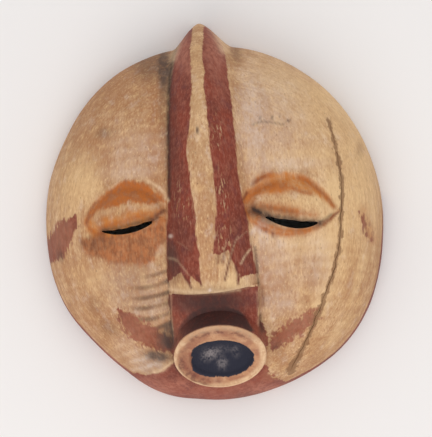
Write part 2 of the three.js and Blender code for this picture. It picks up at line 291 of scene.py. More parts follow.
# Soft patches, by what they hold: middle x and y, half width, half height, strength and, for
# one that is turned, degrees
PATCHES = {
    "chalk": (
        (38, 92, 12, 56, 0.45), (59, 95, 30, 48, 0.35), (52, -38, 22, 33, 0.4), (93, -40, 15, 28, 0.35),
        (56, -76, 18, 12, 0.4), (73, 51, 26, 6, 0.4), (-75, -60, 31, 28, 0.2), (-58, -74, 17, 24, 0.22),
        (-67, -128, 15, 10, 1), (-68, 69, 29, 20, 0.35), (-75, 49, 24, 7, 0.35), (43, -9, 6, 12, 0.8),
        (-90, -38, 13, 12, 0.1), (-51, -22, 4, 6, 0.3, -30), (-84, -112, 14, 14, 0.3, 30),
    ),
    # white spots and chips, and painted glints on the nose's wings
    "spots_and_glints": (
        (-6.6, -60.3, 1.5, 1.4, 0.9), (-40.4, -10.4, 2, 1.8, 0.6), (35, -9, 2, 4.5, 0.6, -30),
    ),
    "soot": (
        (-40, 145, 6, 26, 0.8), (-54, 152, 17, 20, 0.6, 30), (27, 160, 6, 14, 0.4),
        (48, -108, 6, 14, 0.15), (53, -119, 5, 6, 0.15), (-43, 108, 4, 44, 0.25), (-50, -104, 9, 11, 0.7),
        (-46, -101, 5, 12, 1), (-58, -121, 12, 5, 1, -12), (39, -98, 3, 7, 0.4),
        (139, 62, 4, 9, 0.2, -12), (-102, -93, 12, 7, 0.32, -35), (-114, -72, 8, 10, 0.2),
        (-145, -25, 4, 6, 0.6), (-98, 87, 9, 6, 0.35), (-12, 84, 1.3, 4, 1), (72, 90.7, 2.4, 1.2, 0.9),
        (57, 94, 1.1, 2, 0.9), (46, 94, 1.1, 1.8, 0.7), (64, 95, 1, 1.6, 0.5), (-41, -27, 4, 12, 0.6),
        (-44, -92, 1.6, 5, 0.6), (-76, -56, 26, 28, 0.2), (-58, -128, 22, 16, 0.25),
    ),
    "brown": (
        (-83, 143, 37, 24, 0.8, 30), (-117, 101, 20, 33, 0.5, 20), (-50, 145, 16, 24, 0.6),
        (-47, 84, 11, 70, 1), (27, 158, 6, 18, 0.8), (124, -54, 5, 20, 0.55, -16),
        (136, -68, 4, 26, 0.55, -24), (-100, -92, 18, 11, 0.55, -30), (-80, 10, 34, 9, 0.6),
        (70, -118, 14, 10, 0.35, 30), (48, -74, 8, 12, 0.15), (-72, 60, 40, 44, 0.52),
        (-70, -62, 26, 24, 0.8), (-66, -104, 22, 18, 0.5), (147, -80, 7, 28, 0.3),
        (84, -137, 20, 9, 0.3, 30), (31, -143, 9, 7, 0.4), (-10, 140, 6, 18, 0.2), (-9, -10, 9, 45, 0.75),
        (-112, -42, 26, 34, 0.3), (-52, -108, 14, 22, 0.65), (39, -52, 7, 26, 1),
        (-130, -90, 24, 20, 0.25, 40), (28, 52, 6, 38, 0.5), (-104, 0, 8, 10, 0.6),
        (-92, -38, 13, 8, 0.8, -20), (55, -52, 22, 26, 0.45), (139, 62, 5, 11, 0.9, -12),
        (143, -8, 9, 20, 0.45), (-141, -30, 10, 22, 0.5), (-112, -84, 16, 14, 0.4, 30),
        (62, 74, 36, 20, 0.3), (92, 104, 20, 22, 0.3), (50, -60, 9, 13, 0.6),
    ),
    "yellow": (
        (120, -31, 20, 55, 0.9), (116, 90, 24, 37, 0.5, 35), (-117, 35, 18, 18, 0.6),
        (-116, -7, 6, 11, 0.9), (84, -103, 24, 24, 0.4), (134, 43, 15, 46, 0.9), (-132, 36, 15, 28, 0.5),
        (106, 120, 24, 15, 0.6, 40), (-80, 12, 34, 10, 0.95), (74, 15, 32, 10, 0.8),
    ),
    # painted shade along the crest's and the nose's left sides, on the band under the nose and beside the
    # mouth, with some grime
    "shade": (
        (-34, 96, 5, 56, 0.3), (-38, -36, 7, 16, 0.55), (24, -36, 8, 10, 0.1), (-7, -71, 42, 12, 0.65),
        (-26, -17, 6, 18, 0.2), (-36, 20, 6, 40, 0.25), (-4, -77, 30, 16, 0.24), (-46, -108, 4, 8, 0.6),
        (-110, -14, 15, 8, 0.3),
    ),
    # painted light: paler on the right side, at the rims, on the crest's stripe and along the nose's end
    "painted_light": (
        (83, 16, 16, 6, 0.6), (113, 26, 9, 22, 0.6), (140, 30, 18, 70, 0.7), (94, -80, 8, 24, 0.8, -20),
        (100, 100, 34, 46, 0.6, 35), (62, 136, 32, 20, 0.45, -20), (131, -56, 4, 26, 0.6, -18),
        (112, -106, 6, 24, 0.5, -38), (-10, 120, 8, 50, 0.35), (108, -10, 16, 60, 0.75),
        (-136, 30, 12, 40, 0.4), (-116, 48, 14, 24, 0.7), (80, -24, 20, 10, 0.6), (80, 56, 30, 10, 0.5),
        (15, -52, 9, 8, 0.8), (-4, -57, 38, 5, 0.45), (120, 112, 14, 32, 0.5, 38),
        (-112, -48, 12, 12, 0.5),
    ),
    # dust on the chin, cheeks and band, and painted sheen on the crest's tip
    "dust_and_sheen": (
        (10, 166, 13, 26, 1, -20), (-23, 160, 12, 28, 1, 20), (10, 130, 8, 24, 0.45),
        (-50, -152, 22, 7, 0.8, 20), (46, -160, 24, 6, 0.8, -15), (-6, -156, 74, 11, 0.5),
        (-142, -6, 13, 18, 0.25), (-76, -94, 18, 14, 0.5), (-65, -144, 18, 7, 0.7, 30),
        (77, -97, 18, 15, 0.6), (-105, -128, 26, 9, 0.7, -40), (-24, -80, 14, 16, 0.2),
    ),
    "chips": (
        (7, 79, 5, 20, 0.8), (8, 24, 7, 22, 0.7), (-32, 22, 6, 20, 0.6), (-23, 12, 5, 13, 0.6),
        (9, -16, 9, 15, 0.6), (0, 56, 3, 18, 0.4),
    ),
    "worn": (
        (145, -9, 13, 22, 1), (74, -98, 38, 26, 1, 20), (-70, -98, 38, 28, 0.9, -20),
        (-144, -10, 24, 30, 0.75), (54, -141, 18, 9, 0.9, 20),
    ),
    "smudge": (
        (-9, -121, 8, 5, 0.9, 20), (1.5, -129, 5, 6, 0.7), (14, -119, 3, 5, 0.45),
        (-2, -116, 16, 4, 0.25),
    ),
}

# Soft lines: half width, strength, points. Dirt and painted shade lie in the creases and along the slits;
# red paint has run down the nose; light wood shows in the cuts and along worn edges, with painted
# highlights on the nose's end, the crest's tip and the left lid.
LINES = {
    # dirt and painted shade in the creases at the crest's and nose's feet, about the band and mouth, and
    # along the slits
    "dirt_and_crease_shade": (
        (
            2.1, 0.8, (-27.5, 169), (-32, 157), (-35, 141), (-37, 121), (-38.3, 95), (-39.3, 67),
            (-39.8, 45), (-40.2, 24),
        ),
        (1, 0.4, (-42.3, -7), (-42.8, -28), (-44.1, -46), (-44.3, -57)),
        (1.2, 0.6, (36, -24), (37, -34), (37.6, -49), (38, -58)),
        (0.9, 0.3, (-44.5, -66), (-43.5, -85), (-43, -98)),
        (1.6, 0.6, (38.5, -86), (38, -94), (40, -100)),
        (1.1, 0.45, (39, 88), (47, 90.6), (56, 89.4), (67, 87.2)),
        (1.3, 0.4, (-44, -104), (-45, -118), (-42, -131), (-36, -139)),
        (3.2, 0.8, (44, 6), (52, 3), (60, 1.8), (70, 0.2), (80, -1.8), (90, -3.4), (96, -4)),
        (4.4, 1, (36, 10.5), (41, 7.8), (47, 4.6), (53, 1.6)),
        (2.8, 0.8, (-101, -3.2), (-88, -1.6), (-77, 0.6), (-67, 3), (-58, 5.5)),
        (2.2, 0.35, (-62, 3.5), (-56.5, 6), (-51, 9.5), (-45, 12.5)),
        (1.6, 0.55, (-92, -6), (-80, -4), (-68, -1.5), (-58, 2.5), (-51, 6.5)),
        (1.6, 0.55, (92, -3.5), (100, -1.5), (108, 3)),
        (2.8, 0.3, (41, 13), (50, 11), (60, 8.5), (70, 6.5)),
    ),
    "red_line": (
        (1.2, 0.9, (-29.6, -47), (-26.5, -51.6), (-23.6, -57.4)),
        (1.1, 0.9, (-18.4, -46.3), (-16.3, -49.8), (-14.1, -55.7)),
        (1, 0.95, (17.6, -17.5), (14.3, -28.6), (11.1, -38.6), (7.3, -52)),
        (1.8, 0.6, (2.8, -28), (1.6, -35.8)),
        (2, 0.6, (8.4, -26), (5.6, -35)),
        (1.1, 0.9, (17.8, -40), (19.2, -45.7), (19.4, -56)),
        (1.2, 0.75, (-57.9, 1.9), (-51.9, 8.2), (-45.9, 12.9)),
        (1.1, 0.65, (96, -4.9), (105.5, -1.2), (114.1, 4.5)),
        (1.2, 0.45, (-117, 5), (-115.5, 14), (-108.5, 22.5)),
        (1.3, 0.5, (40.5, -60), (41.5, -70), (41, -78)),
        (2.6, 0.4, (29, 8), (34, 7), (39, 7)),
        (1.1, 0.75, (45.9, -7), (45.9, -10.5)),
        (1, 0.75, (52.7, -12), (52.8, -16)),
        (1.4, 0.6, (27, 20), (31, 26)),
        (1.8, 0.45, (36, 33.5), (41, 37), (47, 40)),
        (1, 0.4, (-56, 5), (-52, 10), (-50, 8)),
        (1.2, 0.5, (99, -6), (106, -2), (112, 3.5)),
    ),
    "rust_line": (
        (5.4, 1, (32.3, 23.5), (38, 26.9), (47, 30.2), (56.3, 31), (65.4, 30.4)),
        (3.8, 1, (40, 36), (46, 40), (52, 41.5)),
        (5, 0.85, (35, 17), (37, 10), (40, 3)),
        (
            3.4, 0.95, (36, 3), (44, -2.5), (52, -6.5), (62, -9.5), (72, -11), (84, -10.5),
            (94, -7.5),
        ),
        (4.5, 0.8, (-57, 7), (-52, 10), (-46, 13)),
        (1.8, 0.9, (65.4, 30.4), (72.6, 28.3), (79.8, 25.2), (88.9, 22.6)),
        (2.6, 1, (78.6, 38), (85.8, 35), (93, 29.3), (100, 22.7), (107.3, 15), (110.8, 9.4)),
        (2, 0.25, (53, 42.5), (64, 41.3), (71.3, 39.2)),
        (3, 0.95, (31.4, 25.4), (28.5, 20), (28, 15.6), (29.5, 8.3), (33, 1.7)),
        (3, 0.95, (33, 1.7), (41.9, -5.9), (52.6, -10.9), (67, -13.8)),
        (2, 0.85, (67, -13.8), (81.8, -12.6), (95, -8.6)),
        (1.7, 0.85, (95, -8.6), (104.5, -3), (110.5, 3), (115.4, 6.5)),
        (4.6, 0.95, (43, 13), (55.3, 10.5), (66.2, 8.4), (75.3, 6.5)),
        (3, 0.55, (75.3, 6.5), (83, 4.8), (92, 3)),
        (2.8, 0.95, (-117.7, 4.6), (-115, 11.8), (-108.5, 20.7), (-101.7, 26.8)),
        (2.2, 0.9, (-117.7, 4.6), (-115, -1), (-108.7, -5.5), (-102, -5.2)),
        (2.8, 0.85, (-104.7, -1), (-95.3, 1.8), (-85.9, 3.7), (-74.7, 6.8), (-61.8, 9.9)),
        (2.4, 0.85, (-52.5, 9), (-47.4, 5.2), (-43.8, 4)),
        (5, 0.25, (-104, 8), (-90, 12), (-75, 15), (-60, 15), (-50, 14)),
        (5, 0.35, (138, 6), (141, -6), (147, -22)),
    ),
    # bare wood in the cuts and along worn edges, and painted highlights along the nose's end, the crest's
    # tip and the left lid
    "worn_edge_and_highlight": (
        (0.9, 0.75, (31.6, -25.4), (26.3, -31.5), (22.8, -37.7)),
        (0.6, 0.3, (20.7, -13), (16.4, -22.9), (11.8, -35)),
        (0.6, 0.22, (29.2, -9.1), (23.4, -13.3), (17.6, -18.1)),
        (1.3, 0.22, (-43.5, -30.2), (-39, -30.8), (-35.2, -32.7)),
        (0.8, 0.25, (-35.2, -32.7), (-30.9, -38), (-25.1, -46.1)),
        (0.6, 0.12, (-35, -15.3), (-29.5, -18.9), (-24.1, -23.6)),
        (1.9, 0.6, (-43, -58.5), (-30, -61), (-15, -62), (5, -62), (20, -61)),
        (1.2, 0.3, (20, -61), (35, -57.5)),
        (0.9, 0.25, (36.4, -64.5), (36.3, -94.7)),
        (2, 0.15, (-111, 8), (-100, 13.5), (-85, 17), (-67, 17.5), (-51, 17.5)),
        (0.8, 0.2, (-42.6, -63), (-42.8, -96)),
        (4.2, 0.6, (6, 186), (11, 175), (16, 160)),
        (3.4, 0.45, (-22, 182), (-27, 171), (-32, 154)),
        (1.6, 0.6, (-59.8, 41.5), (-50.9, 35.5), (-45, 30), (-41.5, 22)),
        (1.6, 0.6, (-45.6, -127.6), (-53.5, -134.5), (-62, -136.5)),
    ),
}

CRACK_DIRT = 2.0  # half width of the dirt along the crack

# How much wider that dirt is, by y
CRACK_SPREAD = (
    (-142, 2.4), (-131, 1.9), (-121, 0.1), (-104, 0.2), (-92, 0.9), (-78, 0.9), (-66, 0.4),
    (-40, 0.3), (0, 0),
)

# Colours, as display values from 0 to 255
LIGHT_WOOD = (223, 184, 143)
DARK_WOOD = (190, 146, 106)
BROWN_WOOD = (173, 118, 78)
YELLOW_WOOD = (230, 186, 133)
INNER_WOOD = (104, 76, 54)
DEEP_WOOD = (52, 38, 28)
# also the white of the spots and painted glints
CHALK_WHITE = (228, 204, 188)
RED_PAINT = (138, 58, 38)
RED_SHADE = (104, 46, 34)
# faded red, and the painted sheen on the crest's tip
PALE_RED = (174, 106, 84)
RED_PURPLE = (106, 56, 58)
ORANGE_PAINT = (182, 100, 38)
ORANGE_SHADE = (150, 76, 30)
BLACK_PAINT = (42, 42, 56)
SMUDGE_GREY = (140, 130, 130)
SOOT_GREY = (82, 64, 56)
# dirt and painted shade in the creases
DEEP_BROWN = (46, 30, 24)
# painted shade, with some grime
SHADE_AND_GRIME_BROWN = (56, 35, 33)
CRACK_BROWN = (136, 96, 64)
RUST_PAINT = (178, 104, 58)
RUST_SHADE = (142, 80, 46)
WASH_PAINT = (200, 122, 52)
RING_WOOD = (196, 142, 108)
# also the colour of the painted light
BRIGHT_WOOD = (244, 206, 154)
# worn lip and edges, and the painted highlights
LIP_WOOD = (236, 200, 160)
RING_RED = (146, 86, 66)
RING_SHADE = (106, 62, 54)
FLOOR_COLOUR = (0.895, 0.855, 0.84, 1)  # as light, from 0 to 1
SKY_COLOUR = (0.96, 0.985, 1, 1)
SKY_STRENGTH = 0.69

# Noise textures: size of the bumps in millimetres along x, y and z, and how many octaves
TEXTURES = {
    "fibre": ((1.5, 9, 1.5), 4),
    "streak": ((3, 26, 3), 3),
    "band": ((11, 90, 11), 2),
    "blotch": ((24, 32, 24), 3),
    "mottle": ((5, 7, 5), 3),
    "fleck": ((1.7, 4, 1.7), 2),
    "tint": ((9, 14, 9), 2),
    "pore": ((1.1, 4, 1.1), 1),
    "chip": ((2.2, 9, 2.2), 2),
    "ring_patch": ((10, 10, 10), 3),
    "ring_edge": ((12, 12, 12), 2),
    "fine_edge": ((2.6, 13, 2.6), 3),
    "broad_edge": ((8, 20, 8), 2),
}
RASP_TEXTURE = ((1.8, 45, 10), 3)  # outwards from the middle and around it
RASP_RADIUS = 150  # where its length around is true

# Lamps: place, size and power in metres and watts, colour
LAMPS = {
    "key": ((-0.35, -1.5, 1.8), 1.8, 15.5, (1, 0.945, 0.885)),
    "fill": ((0.3, 0.4, 2.6), 2.8, 14, (0.95, 0.985, 1)),
}

# Surface of the wood and of the floor
ROUGHNESS = 0.8
PAINT_SMOOTHS = 0.14  # how much less rough it is where it is painted
GRAIN_ROUGHENS = 0.12
SPECULAR = 0.3
BUMP_STRENGTH = 0.9
BUMP_DISTANCE = 0.0009  # metres
NOISE_ROUGHNESS = 0.55
FLOOR_ROUGHNESS = 0.9

# Camera: the photograph's frame is 432 by 437 pixels, taken square on to the face
PHOTO_WIDTH = 432
PHOTO_HEIGHT = 437
RIM_CENTRE_PIXEL = (214.5, 222.5)
PIXEL_SIZE = 0.954  # millimetres of the back plane that a pixel covers
CAMERA_DISTANCE = 2400
CAMERA_ROLL = math.radians(2.46)
SENSOR_WIDTH = 36
CLIP_END = 20  # metres
FLOOR_HALF = 3.0  # metres

rng = np.random.default_rng(7)
NOISE_CELLS = 32
NOISE_TABLE = rng.random((NOISE_CELLS,) * 3) * 2 - 1
TOOLS = []  # the solids that the mask is joined and cut from


def to_frame(points):
    """Points in the mask's millimetres as the frame's metres."""
    points = np.asarray(points, float)
    moved = points + np.array([RIM_CENTRE[0], RIM_CENTRE[1], 0])
    return moved / 1000


def mix(a, b, t):
    return a + (b - a) * t


def fade(*edges):
    """Product of smooth steps, each given as value, start and end."""
    return math.prod(smooth_step(*edge) for edge in edges)


def bell(distance, half_width):
    """1 at no distance, falling smoothly to both sides."""
    return np.exp(-((distance / half_width) ** 2))


def smooth_step(value, start, end):
    """0 at start and before, 1 at end and after, smooth between."""
    t = np.clip((value - start) / (end - start), 0, 1)
    return t * t * (3 - 2 * t)


def wander(x, y, z, size):
    """Smooth noise from -1 to 1 whose bumps are about size wide."""
    place = np.stack(np.broadcast_arrays(x, y, z)) / size
    whole = np.floor(place).astype(int)
    part = place - whole
    part = part * part * (3 - 2 * part)
    total = 0
    for corner in np.ndindex(2, 2, 2):
        at = tuple((whole[k] + corner[k]) % NOISE_CELLS for k in range(3))
        weight = 1
        for k in range(3):
            weight = weight * (part[k] if corner[k] else 1 - part[k])
        total = total + weight * NOISE_TABLE[at]
    return total


def rim_scale(turn):
    """The rim's radius at an angle in radians, as a share of the ellipse's."""
    scale = 1
    for middle, reach, share in SWELLS:
        away = np.minimum(abs(np.degrees(turn) % 360 - middle) / reach, 1)
        scale = scale + share * np.cos(math.pi / 2 * away) ** 2
    return scale


def dome_level(x, y, z, inset=0):
    """1 on the dome's surface, less inside it. Inset moves the surface inwards."""
    across = np.hypot(x / (HALF_WIDTH - inset), y / (HALF_HEIGHT - inset))
    across = across / rim_scale(np.arctan2(y, x))
    return across**FULLNESS + (np.maximum(z, 0) / (DEPTH - inset)) ** FULLNESS


def dome_height(x, y, inset=0):
    """Height of the dome's surface over a point of the back plane."""
    left = np.maximum(1 - dome_level(x, y, 0.0, inset), 0)
    return (DEPTH - inset) * left ** (1 / FULLNESS)


def dome_reach(x, angle):
    """Distance from the x axis to the dome in the direction of an angle from z to y."""
    near = np.zeros(np.broadcast(x, angle).shape)
    far = np.full_like(near, 2 * HALF_HEIGHT)
    for _ in range(HALVINGS):
        middle = (near + far) / 2
        level = dome_level(x, middle * np.sin(angle), middle * np.cos(angle))
        near = np.where(level < 1, middle, near)
        far = np.where(level < 1, far, middle)
    return near


def dome_grid(cells, inset):
    """An even grid of points over the dome: arrays x, y, z and each point's turn."""
    side = np.linspace(-1, 1, cells + 1)
    u, v = np.meshgrid(side, side, indexing="ij")
    ring = np.maximum(abs(u), abs(v))
    wide = abs(u) >= abs(v)
    over_u = v / np.where(wide & (u != 0), u, 1)
    over_v = u / np.where(~wide, v, 1)
    turn = np.where(
        wide,
        math.pi / 4 * over_u + math.pi * (u < 0),
        math.pi / 2 - math.pi / 4 * over_v + math.pi * (v < 0),
    )
    angle = np.linspace(0, math.pi / 2, PROFILE_STEPS)
    radius = np.sin(angle) ** (2 / FULLNESS)
    height = np.cos(angle) ** (2 / FULLNESS)
    steps = np.hypot(np.diff(radius) * HALF_WIDTH, np.diff(height) * DEPTH)
    length = np.concatenate([[0], np.cumsum(steps)])
    r = np.interp(ring * length[-1], length, radius) * rim_scale(turn)
    z = np.interp(ring * length[-1], length, height) * (DEPTH - inset)
    x = (HALF_WIDTH - inset) * r * np.cos(turn)
    y = (HALF_HEIGHT - inset) * r * np.sin(turn)
    return x, y, z


def eye_line(eye, x):
    """At each x: how far along the eye (0 to 1), the lid's upper and lower edge, the bow."""
    t = (x - eye["inner"][0]) / (eye["outer"][0] - eye["inner"][0])
    chord = mix(eye["inner"][1], eye["outer"][1], t)
    bow = np.maximum(4 * t * (1 - t), 0)
    upper = chord + eye["arch"] * bow**0.7
    lower = chord - eye["sag"] * bow * (1 + eye["droop"] * (2 * t - 1))
    return t, upper, lower, bow


def bead(distance, shape):
    """Height of a bead or groove that runs along an edge."""
    height, place, half_width = shape
    return height * bell(distance - place, half_width)


def lid_relief(x, y):
    """Height of the eyelids above the dome, with the groove over each and a rim under it."""
    total = np.zeros_like(x)
    for eye in EYES:
        t, upper, lower, bow = eye_line(eye, x)
        v = (y - lower) / np.maximum(upper - lower, 0.5)
        swell = LID_HEIGHT * bow**0.6 * np.sin(math.pi * np.clip(mix(LID_START, 1, v), 0, 1))
        swell = swell * smooth_step(y - lower, -1.5, 1.5)
        beads = bead(y - upper, LID_GROOVE) + bead(y - upper, LID_BROW)
        beads = beads + eye["lower_rim"] * bead(lower - y, LOWER_RIM)
        total = total + np.where((t > 0) & (t < 1), swell + bow**0.5 * beads, 0)
    return total


def waver(x, y, z, *sizes):
    """Unevenness of several sizes at once, each given as height and width."""
    return sum(height * wander(x, y, z, width) for height, width in sizes)


def scallops(along, across, period, seed):
    """Side by side gouge cuts: 0 on the ridges between them, -1 at their middles."""
    bent = along + waver(across, along, seed, (4, 26), (1.6, 9))
    part = bent / period % 1
    return (2 * part - 1) ** 2 - 1


def cheek_cuts(x, y):
    """Relief of the gouge cuts on the left cheek: shallow arcs that rise to the nose and fade
    towards the cheek's outer side, the nose, the eye and the mouth."""
    area = fade((x, -100, -52), (-x, 37, 43), (-y, 24, 50), (y, -104, -92))
    arc = 4.5 - 4.5 * ((x + 70) / 24) ** 2
    along = y + np.maximum(arc, -4) + 1.2 * wander(x, y, 3.0, 15)
    phase = (along + CHEEK_CUT_AT) / CHEEK_CUT_PITCH
    uneven = 0.9 + 0.4 * wander(x, 2.0 * y, 4.0, 18)
    return -CHEEK_CUT_DEPTH * area * uneven * np.cos(math.pi * phase) ** 2


def soft_cuts(x, y):
    """Relief of the shallow cuts: arcs over the eyes, the right cheek and the lower left."""
    side = abs(x)
    forehead = fade((y, 40, 60), (side, 34, 46)) * mix(1, 0.45, smooth_step(x, 0, 70))
    # Each set's depth, area, distance across its cuts, pitch and seed
    cuts = (
        (0.4, forehead, y + 0.0028 * (side - 50) ** 2, 10, 8.0),
        (0.35, fade((-y, 10, 30), (x, 30, 50)), y + 0.002 * (x - 90) ** 2, 11, 5.0),
        (0.5, fade((-y, 96, 112), (-x, 50, 62)), y - 0.35 * x, 9, 6.0),
        (0.35, fade((-x, 92, 108), (-y, 20, 44), (y, -124, -104)), y - 0.25 * x, 11, 9.0),
    )
    return sum(
        depth * area * scallops(along, x, pitch, seed) for depth, area, along, pitch, seed in cuts
    )


def placed(name, data):
    """An object in the scene that shows that mesh, lamp or camera."""
    made = bpy.data.objects.new(name, data)
    bpy.context.scene.collection.objects.link(made)
    return made


def grid_object(name, top, base):
    """A closed solid between two grids of points that face each other."""
    rows, columns = top.shape[:2]
    index = np.arange(rows * columns).reshape(rows, columns)
    quads = np.stack(
        [index[:-1, :-1], index[1:, :-1], index[1:, 1:], index[:-1, 1:]], -1
    ).reshape(-1, 4)
    under = rows * columns
    edge = np.concatenate(
        [index[:-1, 0], index[-1, :-1], index[:0:-1, -1], index[0, :0:-1]]
    )
    ahead = np.roll(edge, -1)
    walls = np.stack([edge + under, ahead + under, ahead, edge], -1)
    faces = np.concatenate([quads, quads[:, ::-1] + under, walls])
    points = np.concatenate([top.reshape(-1, 3), base.reshape(-1, 3)])
    return solid_object(name, points, faces.tolist())


def loft_object(name, rings):
    """A closed solid through rings of points, with a fan at each end."""
    rings = np.asarray(rings, float)
    count, around = rings.shape[:2]
    index = np.arange(count * around).reshape(count, around)
    ahead = np.roll(index, -1, axis=1)
    sides = np.stack([index[:-1], ahead[:-1], ahead[1:], index[1:]], -1).reshape(-1, 4)
    hubs = np.stack([rings[0].mean(0), rings[-1].mean(0)])
    first, last = count * around, count * around + 1
    faces = sides.tolist()
    faces += [(first, b, a) for a, b in zip(index[0].tolist(), ahead[0].tolist())]
    faces += [(last, a, b) for a, b in zip(index[-1].tolist(), ahead[-1].tolist())]
    return solid_object(name, np.concatenate([rings.reshape(-1, 3), hubs]), faces)


def solid_object(name, points, faces):
    """A mesh object of those points and faces, with its faces turned outwards."""
    mesh = bpy.data.meshes.new(name)
    mesh.from_pydata(to_frame(points).tolist(), [], faces)
    form = bmesh.new()
    form.from_mesh(mesh)
    bmesh.ops.triangulate(form, faces=form.faces[:])
    bmesh.ops.recalc_face_normals(form, faces=form.faces[:])
    if form.calc_volume(signed=True) < 0:
        bmesh.ops.reverse_faces(form, faces=form.faces[:])
    form.to_mesh(mesh)
    form.free()
    TOOLS.append(placed(name, mesh))
    return TOOLS[-1]


def flat_below(top, depth):
    """The same grid pressed flat, that far below the back plane."""
    base = top.copy()
    base[..., 2] = -depth
    return base


def make_dome():
    """The outside of the face, with its relief fading out towards the rim."""
    x, y, z = dome_grid(CELLS, 0)
    slope = (z / DEPTH) ** 0.5
    relief = lid_relief(x, y) + cheek_cuts(x, y) + soft_cuts(x, y)
    relief = relief * smooth_step(z, *RELIEF_GROWS)
    uneven = waver(x, y, z, *DOME_UNEVEN) - DOME_SUNK
    inwards = 1 + uneven / HALF_WIDTH
    top = np.stack([x * inwards, y * inwards, z + relief * slope + uneven * slope], -1)
    return grid_object("dome", top, flat_below(top, BELOW))


def ridge_station(degrees):
    """Values of a ridge section at an angle, as a dictionary of arrays."""
    angles = [station[0] for station in RIDGE_STATIONS]
    return {
        key: np.interp(degrees, angles, [station[k] for station in RIDGE_STATIONS])
        for k, key in enumerate(RIDGE_KEYS)
    }


def around_axis(x, angle, rise):
    """Points at a rise above the dome, by angle about the x axis."""
    reach = dome_reach(x, np.minimum(angle, math.pi / 2)) + rise
    return np.stack([x + 0 * reach, reach * np.sin(angle), reach * np.cos(angle)], -1)


def make_ridge():
    """The crest and the nose, sawn off at the nose's end."""
    degrees = np.linspace(RIDGE_STATIONS[-1][0], RIDGE_STATIONS[0][0], RIDGE_ALONG)[:, None]
    even = np.linspace(-1, 1, RIDGE_ACROSS)[None, :]
    t = mix(even, np.sin(even * math.pi / 2), 0.35)
    at = ridge_station(degrees)
    rise = at["height"] * np.maximum(1 - abs(t) ** at["crown"], 0) ** at["flare"]
    rise = rise - RIDGE_SINK * t**4
    x = at["centre"] + at["half_width"] * t + at["lean"] * (1 - t * t)
    angle = np.radians(degrees) + 0 * t
    even_x, even_y, even_z = np.moveaxis(around_axis(x, angle, rise), -1, 0)
    uneven = waver(even_x, even_y, even_z, *RIDGE_UNEVEN) - RIDGE_SUNK
    wings = wing_grooves(even_x, even_y)
    top = around_axis(x, angle, rise + (uneven - wings) * (1 - t**8))
    base = around_axis(x, angle, 0 * rise - RIDGE_EMBED)
    ridge = grid_object("ridge", top, base)
    carve(ridge, [below_nose("below_nose", 0)], "DIFFERENCE")
    return ridge


def turned(points, turn):
    """Points turned by that many radians about the x axis, then about the z axis."""
    about_x, about_z = turn
    return points @ np.array(Euler((about_x, 0, about_z)).to_matrix()).T


def below_nose(name, up):
    """Everything below the nose's end, or below a plane that far up inside the nose."""
    size = 200
    sides = (-size, size)
    corners = np.array([[x, y, z] for z in sides for y in (-size, 0) for x in sides], float)
    corners = turned(corners, (NOSE_END_UNDER, NOSE_END_ASKEW))
    return box_object(name, corners + np.array([0, NOSE_END_Y + up, NOSE_END_Z]))


def turn_of(x, y):
    """Degrees about the middle of the rim, from +x."""
    return np.degrees(np.arctan2(y, x)) % 360


def line_distance(x, y, line):
    """Distance from points to an open line of corners."""
    nearest = np.full(np.shape(x), 1e9)
    for (ax, ay), (bx, by) in zip(line, line[1:]):
        run = (bx - ax) ** 2 + (by - ay) ** 2
        t = np.clip(((x - ax) * (bx - ax) + (y - ay) * (by - ay)) / run, 0, 1)
        away = np.hypot(x - ax - t * (bx - ax), y - ay - t * (by - ay))
        nearest = np.minimum(nearest, away)
    return nearest


def wing_grooves(x, y):
    """Depth of the cuts on the wings of the nose."""
    depth = np.zeros(np.shape(x))
    for line in WING_CUTS:
        away = line_distance(x, y, line)
        depth = np.maximum(depth, WING_CUT_DEPTH * bell(away, WING_CUT_WIDTH))
    return depth


def box_object(name, corners):
    """A box from its eight corners, in the order of z, then y, then x."""
    faces = [(0, 1, 3, 2), (4, 6, 7, 5), (0, 4, 5, 1), (2, 3, 7, 6), (0, 2, 6, 4), (1, 5, 7, 3)]
    return solid_object(name, corners, faces)


def make_band():
    """The raised band between the nose and the mouth, flat between two rounded edges."""
    degrees = np.linspace(BAND_ANGLES[0], BAND_ANGLES[1], BAND_ALONG)[:, None]
    share = (degrees - BAND_ANGLES[0]) / (BAND_ANGLES[1] - BAND_ANGLES[0])
    edge_t, edge_level = np.array(BAND_EDGE).T
    half_t = np.concatenate([edge_t, np.linspace(0.88, 0, BAND_ACROSS)])
    half_level = np.concatenate([edge_level, np.ones(BAND_ACROSS)])
    t = np.concatenate([-half_t, half_t[-2::-1]])[None, :]
    level = np.concatenate([half_level, half_level[-2::-1]])[None, :]
    x = mix(BAND_CENTRES[0], BAND_CENTRES[1], share)
    x = x + mix(BAND_HALF_WIDTHS[0], BAND_HALF_WIDTHS[1], share) * t
    rise = mix(BAND_HEIGHTS[0], BAND_HEIGHTS[1], share) * level
    angle = np.radians(degrees) + 0 * t
    rise = rise + 0.25 * wander(x, 60 * angle, 0.0, 9) - 0.2
    base = around_axis(x, angle, 0 * rise - RIDGE_EMBED)
    band = grid_object("band", around_axis(x, angle, rise), base)
    carve(band, [below_nose("below_nose_band", BAND_INTO_NOSE)], "INTERSECT")
    return band


def mouth_rings(profile):
    """Rings about the mouth's axis. Each is (share of the half width, share of the half
    height, depth behind the face, share of the hollow's shift)."""
    turn = np.linspace(0, 2 * math.pi, MOUTH_SIDES, endpoint=False)
    rings = []
    for wide, tall, depth, shift in profile:
        x = shift * HOLLOW_ACROSS + wide * MOUTH_HALF_WIDTH * np.cos(turn)
        up = shift * HOLLOW_UP + tall * MOUTH_HALF_HEIGHT * np.sin(turn)
        y = MOUTH_FACE_Y + up * math.cos(MOUTH_TILT) + depth * math.sin(MOUTH_TILT)
        z = MOUTH_FACE_Z + up * math.sin(MOUTH_TILT) - depth * math.cos(MOUTH_TILT)
        uneven = 1 + 0.006 * wander(x, y, z, 20) - 0.004
        rings.append(np.stack([x * uneven, y, z], -1))
    return rings


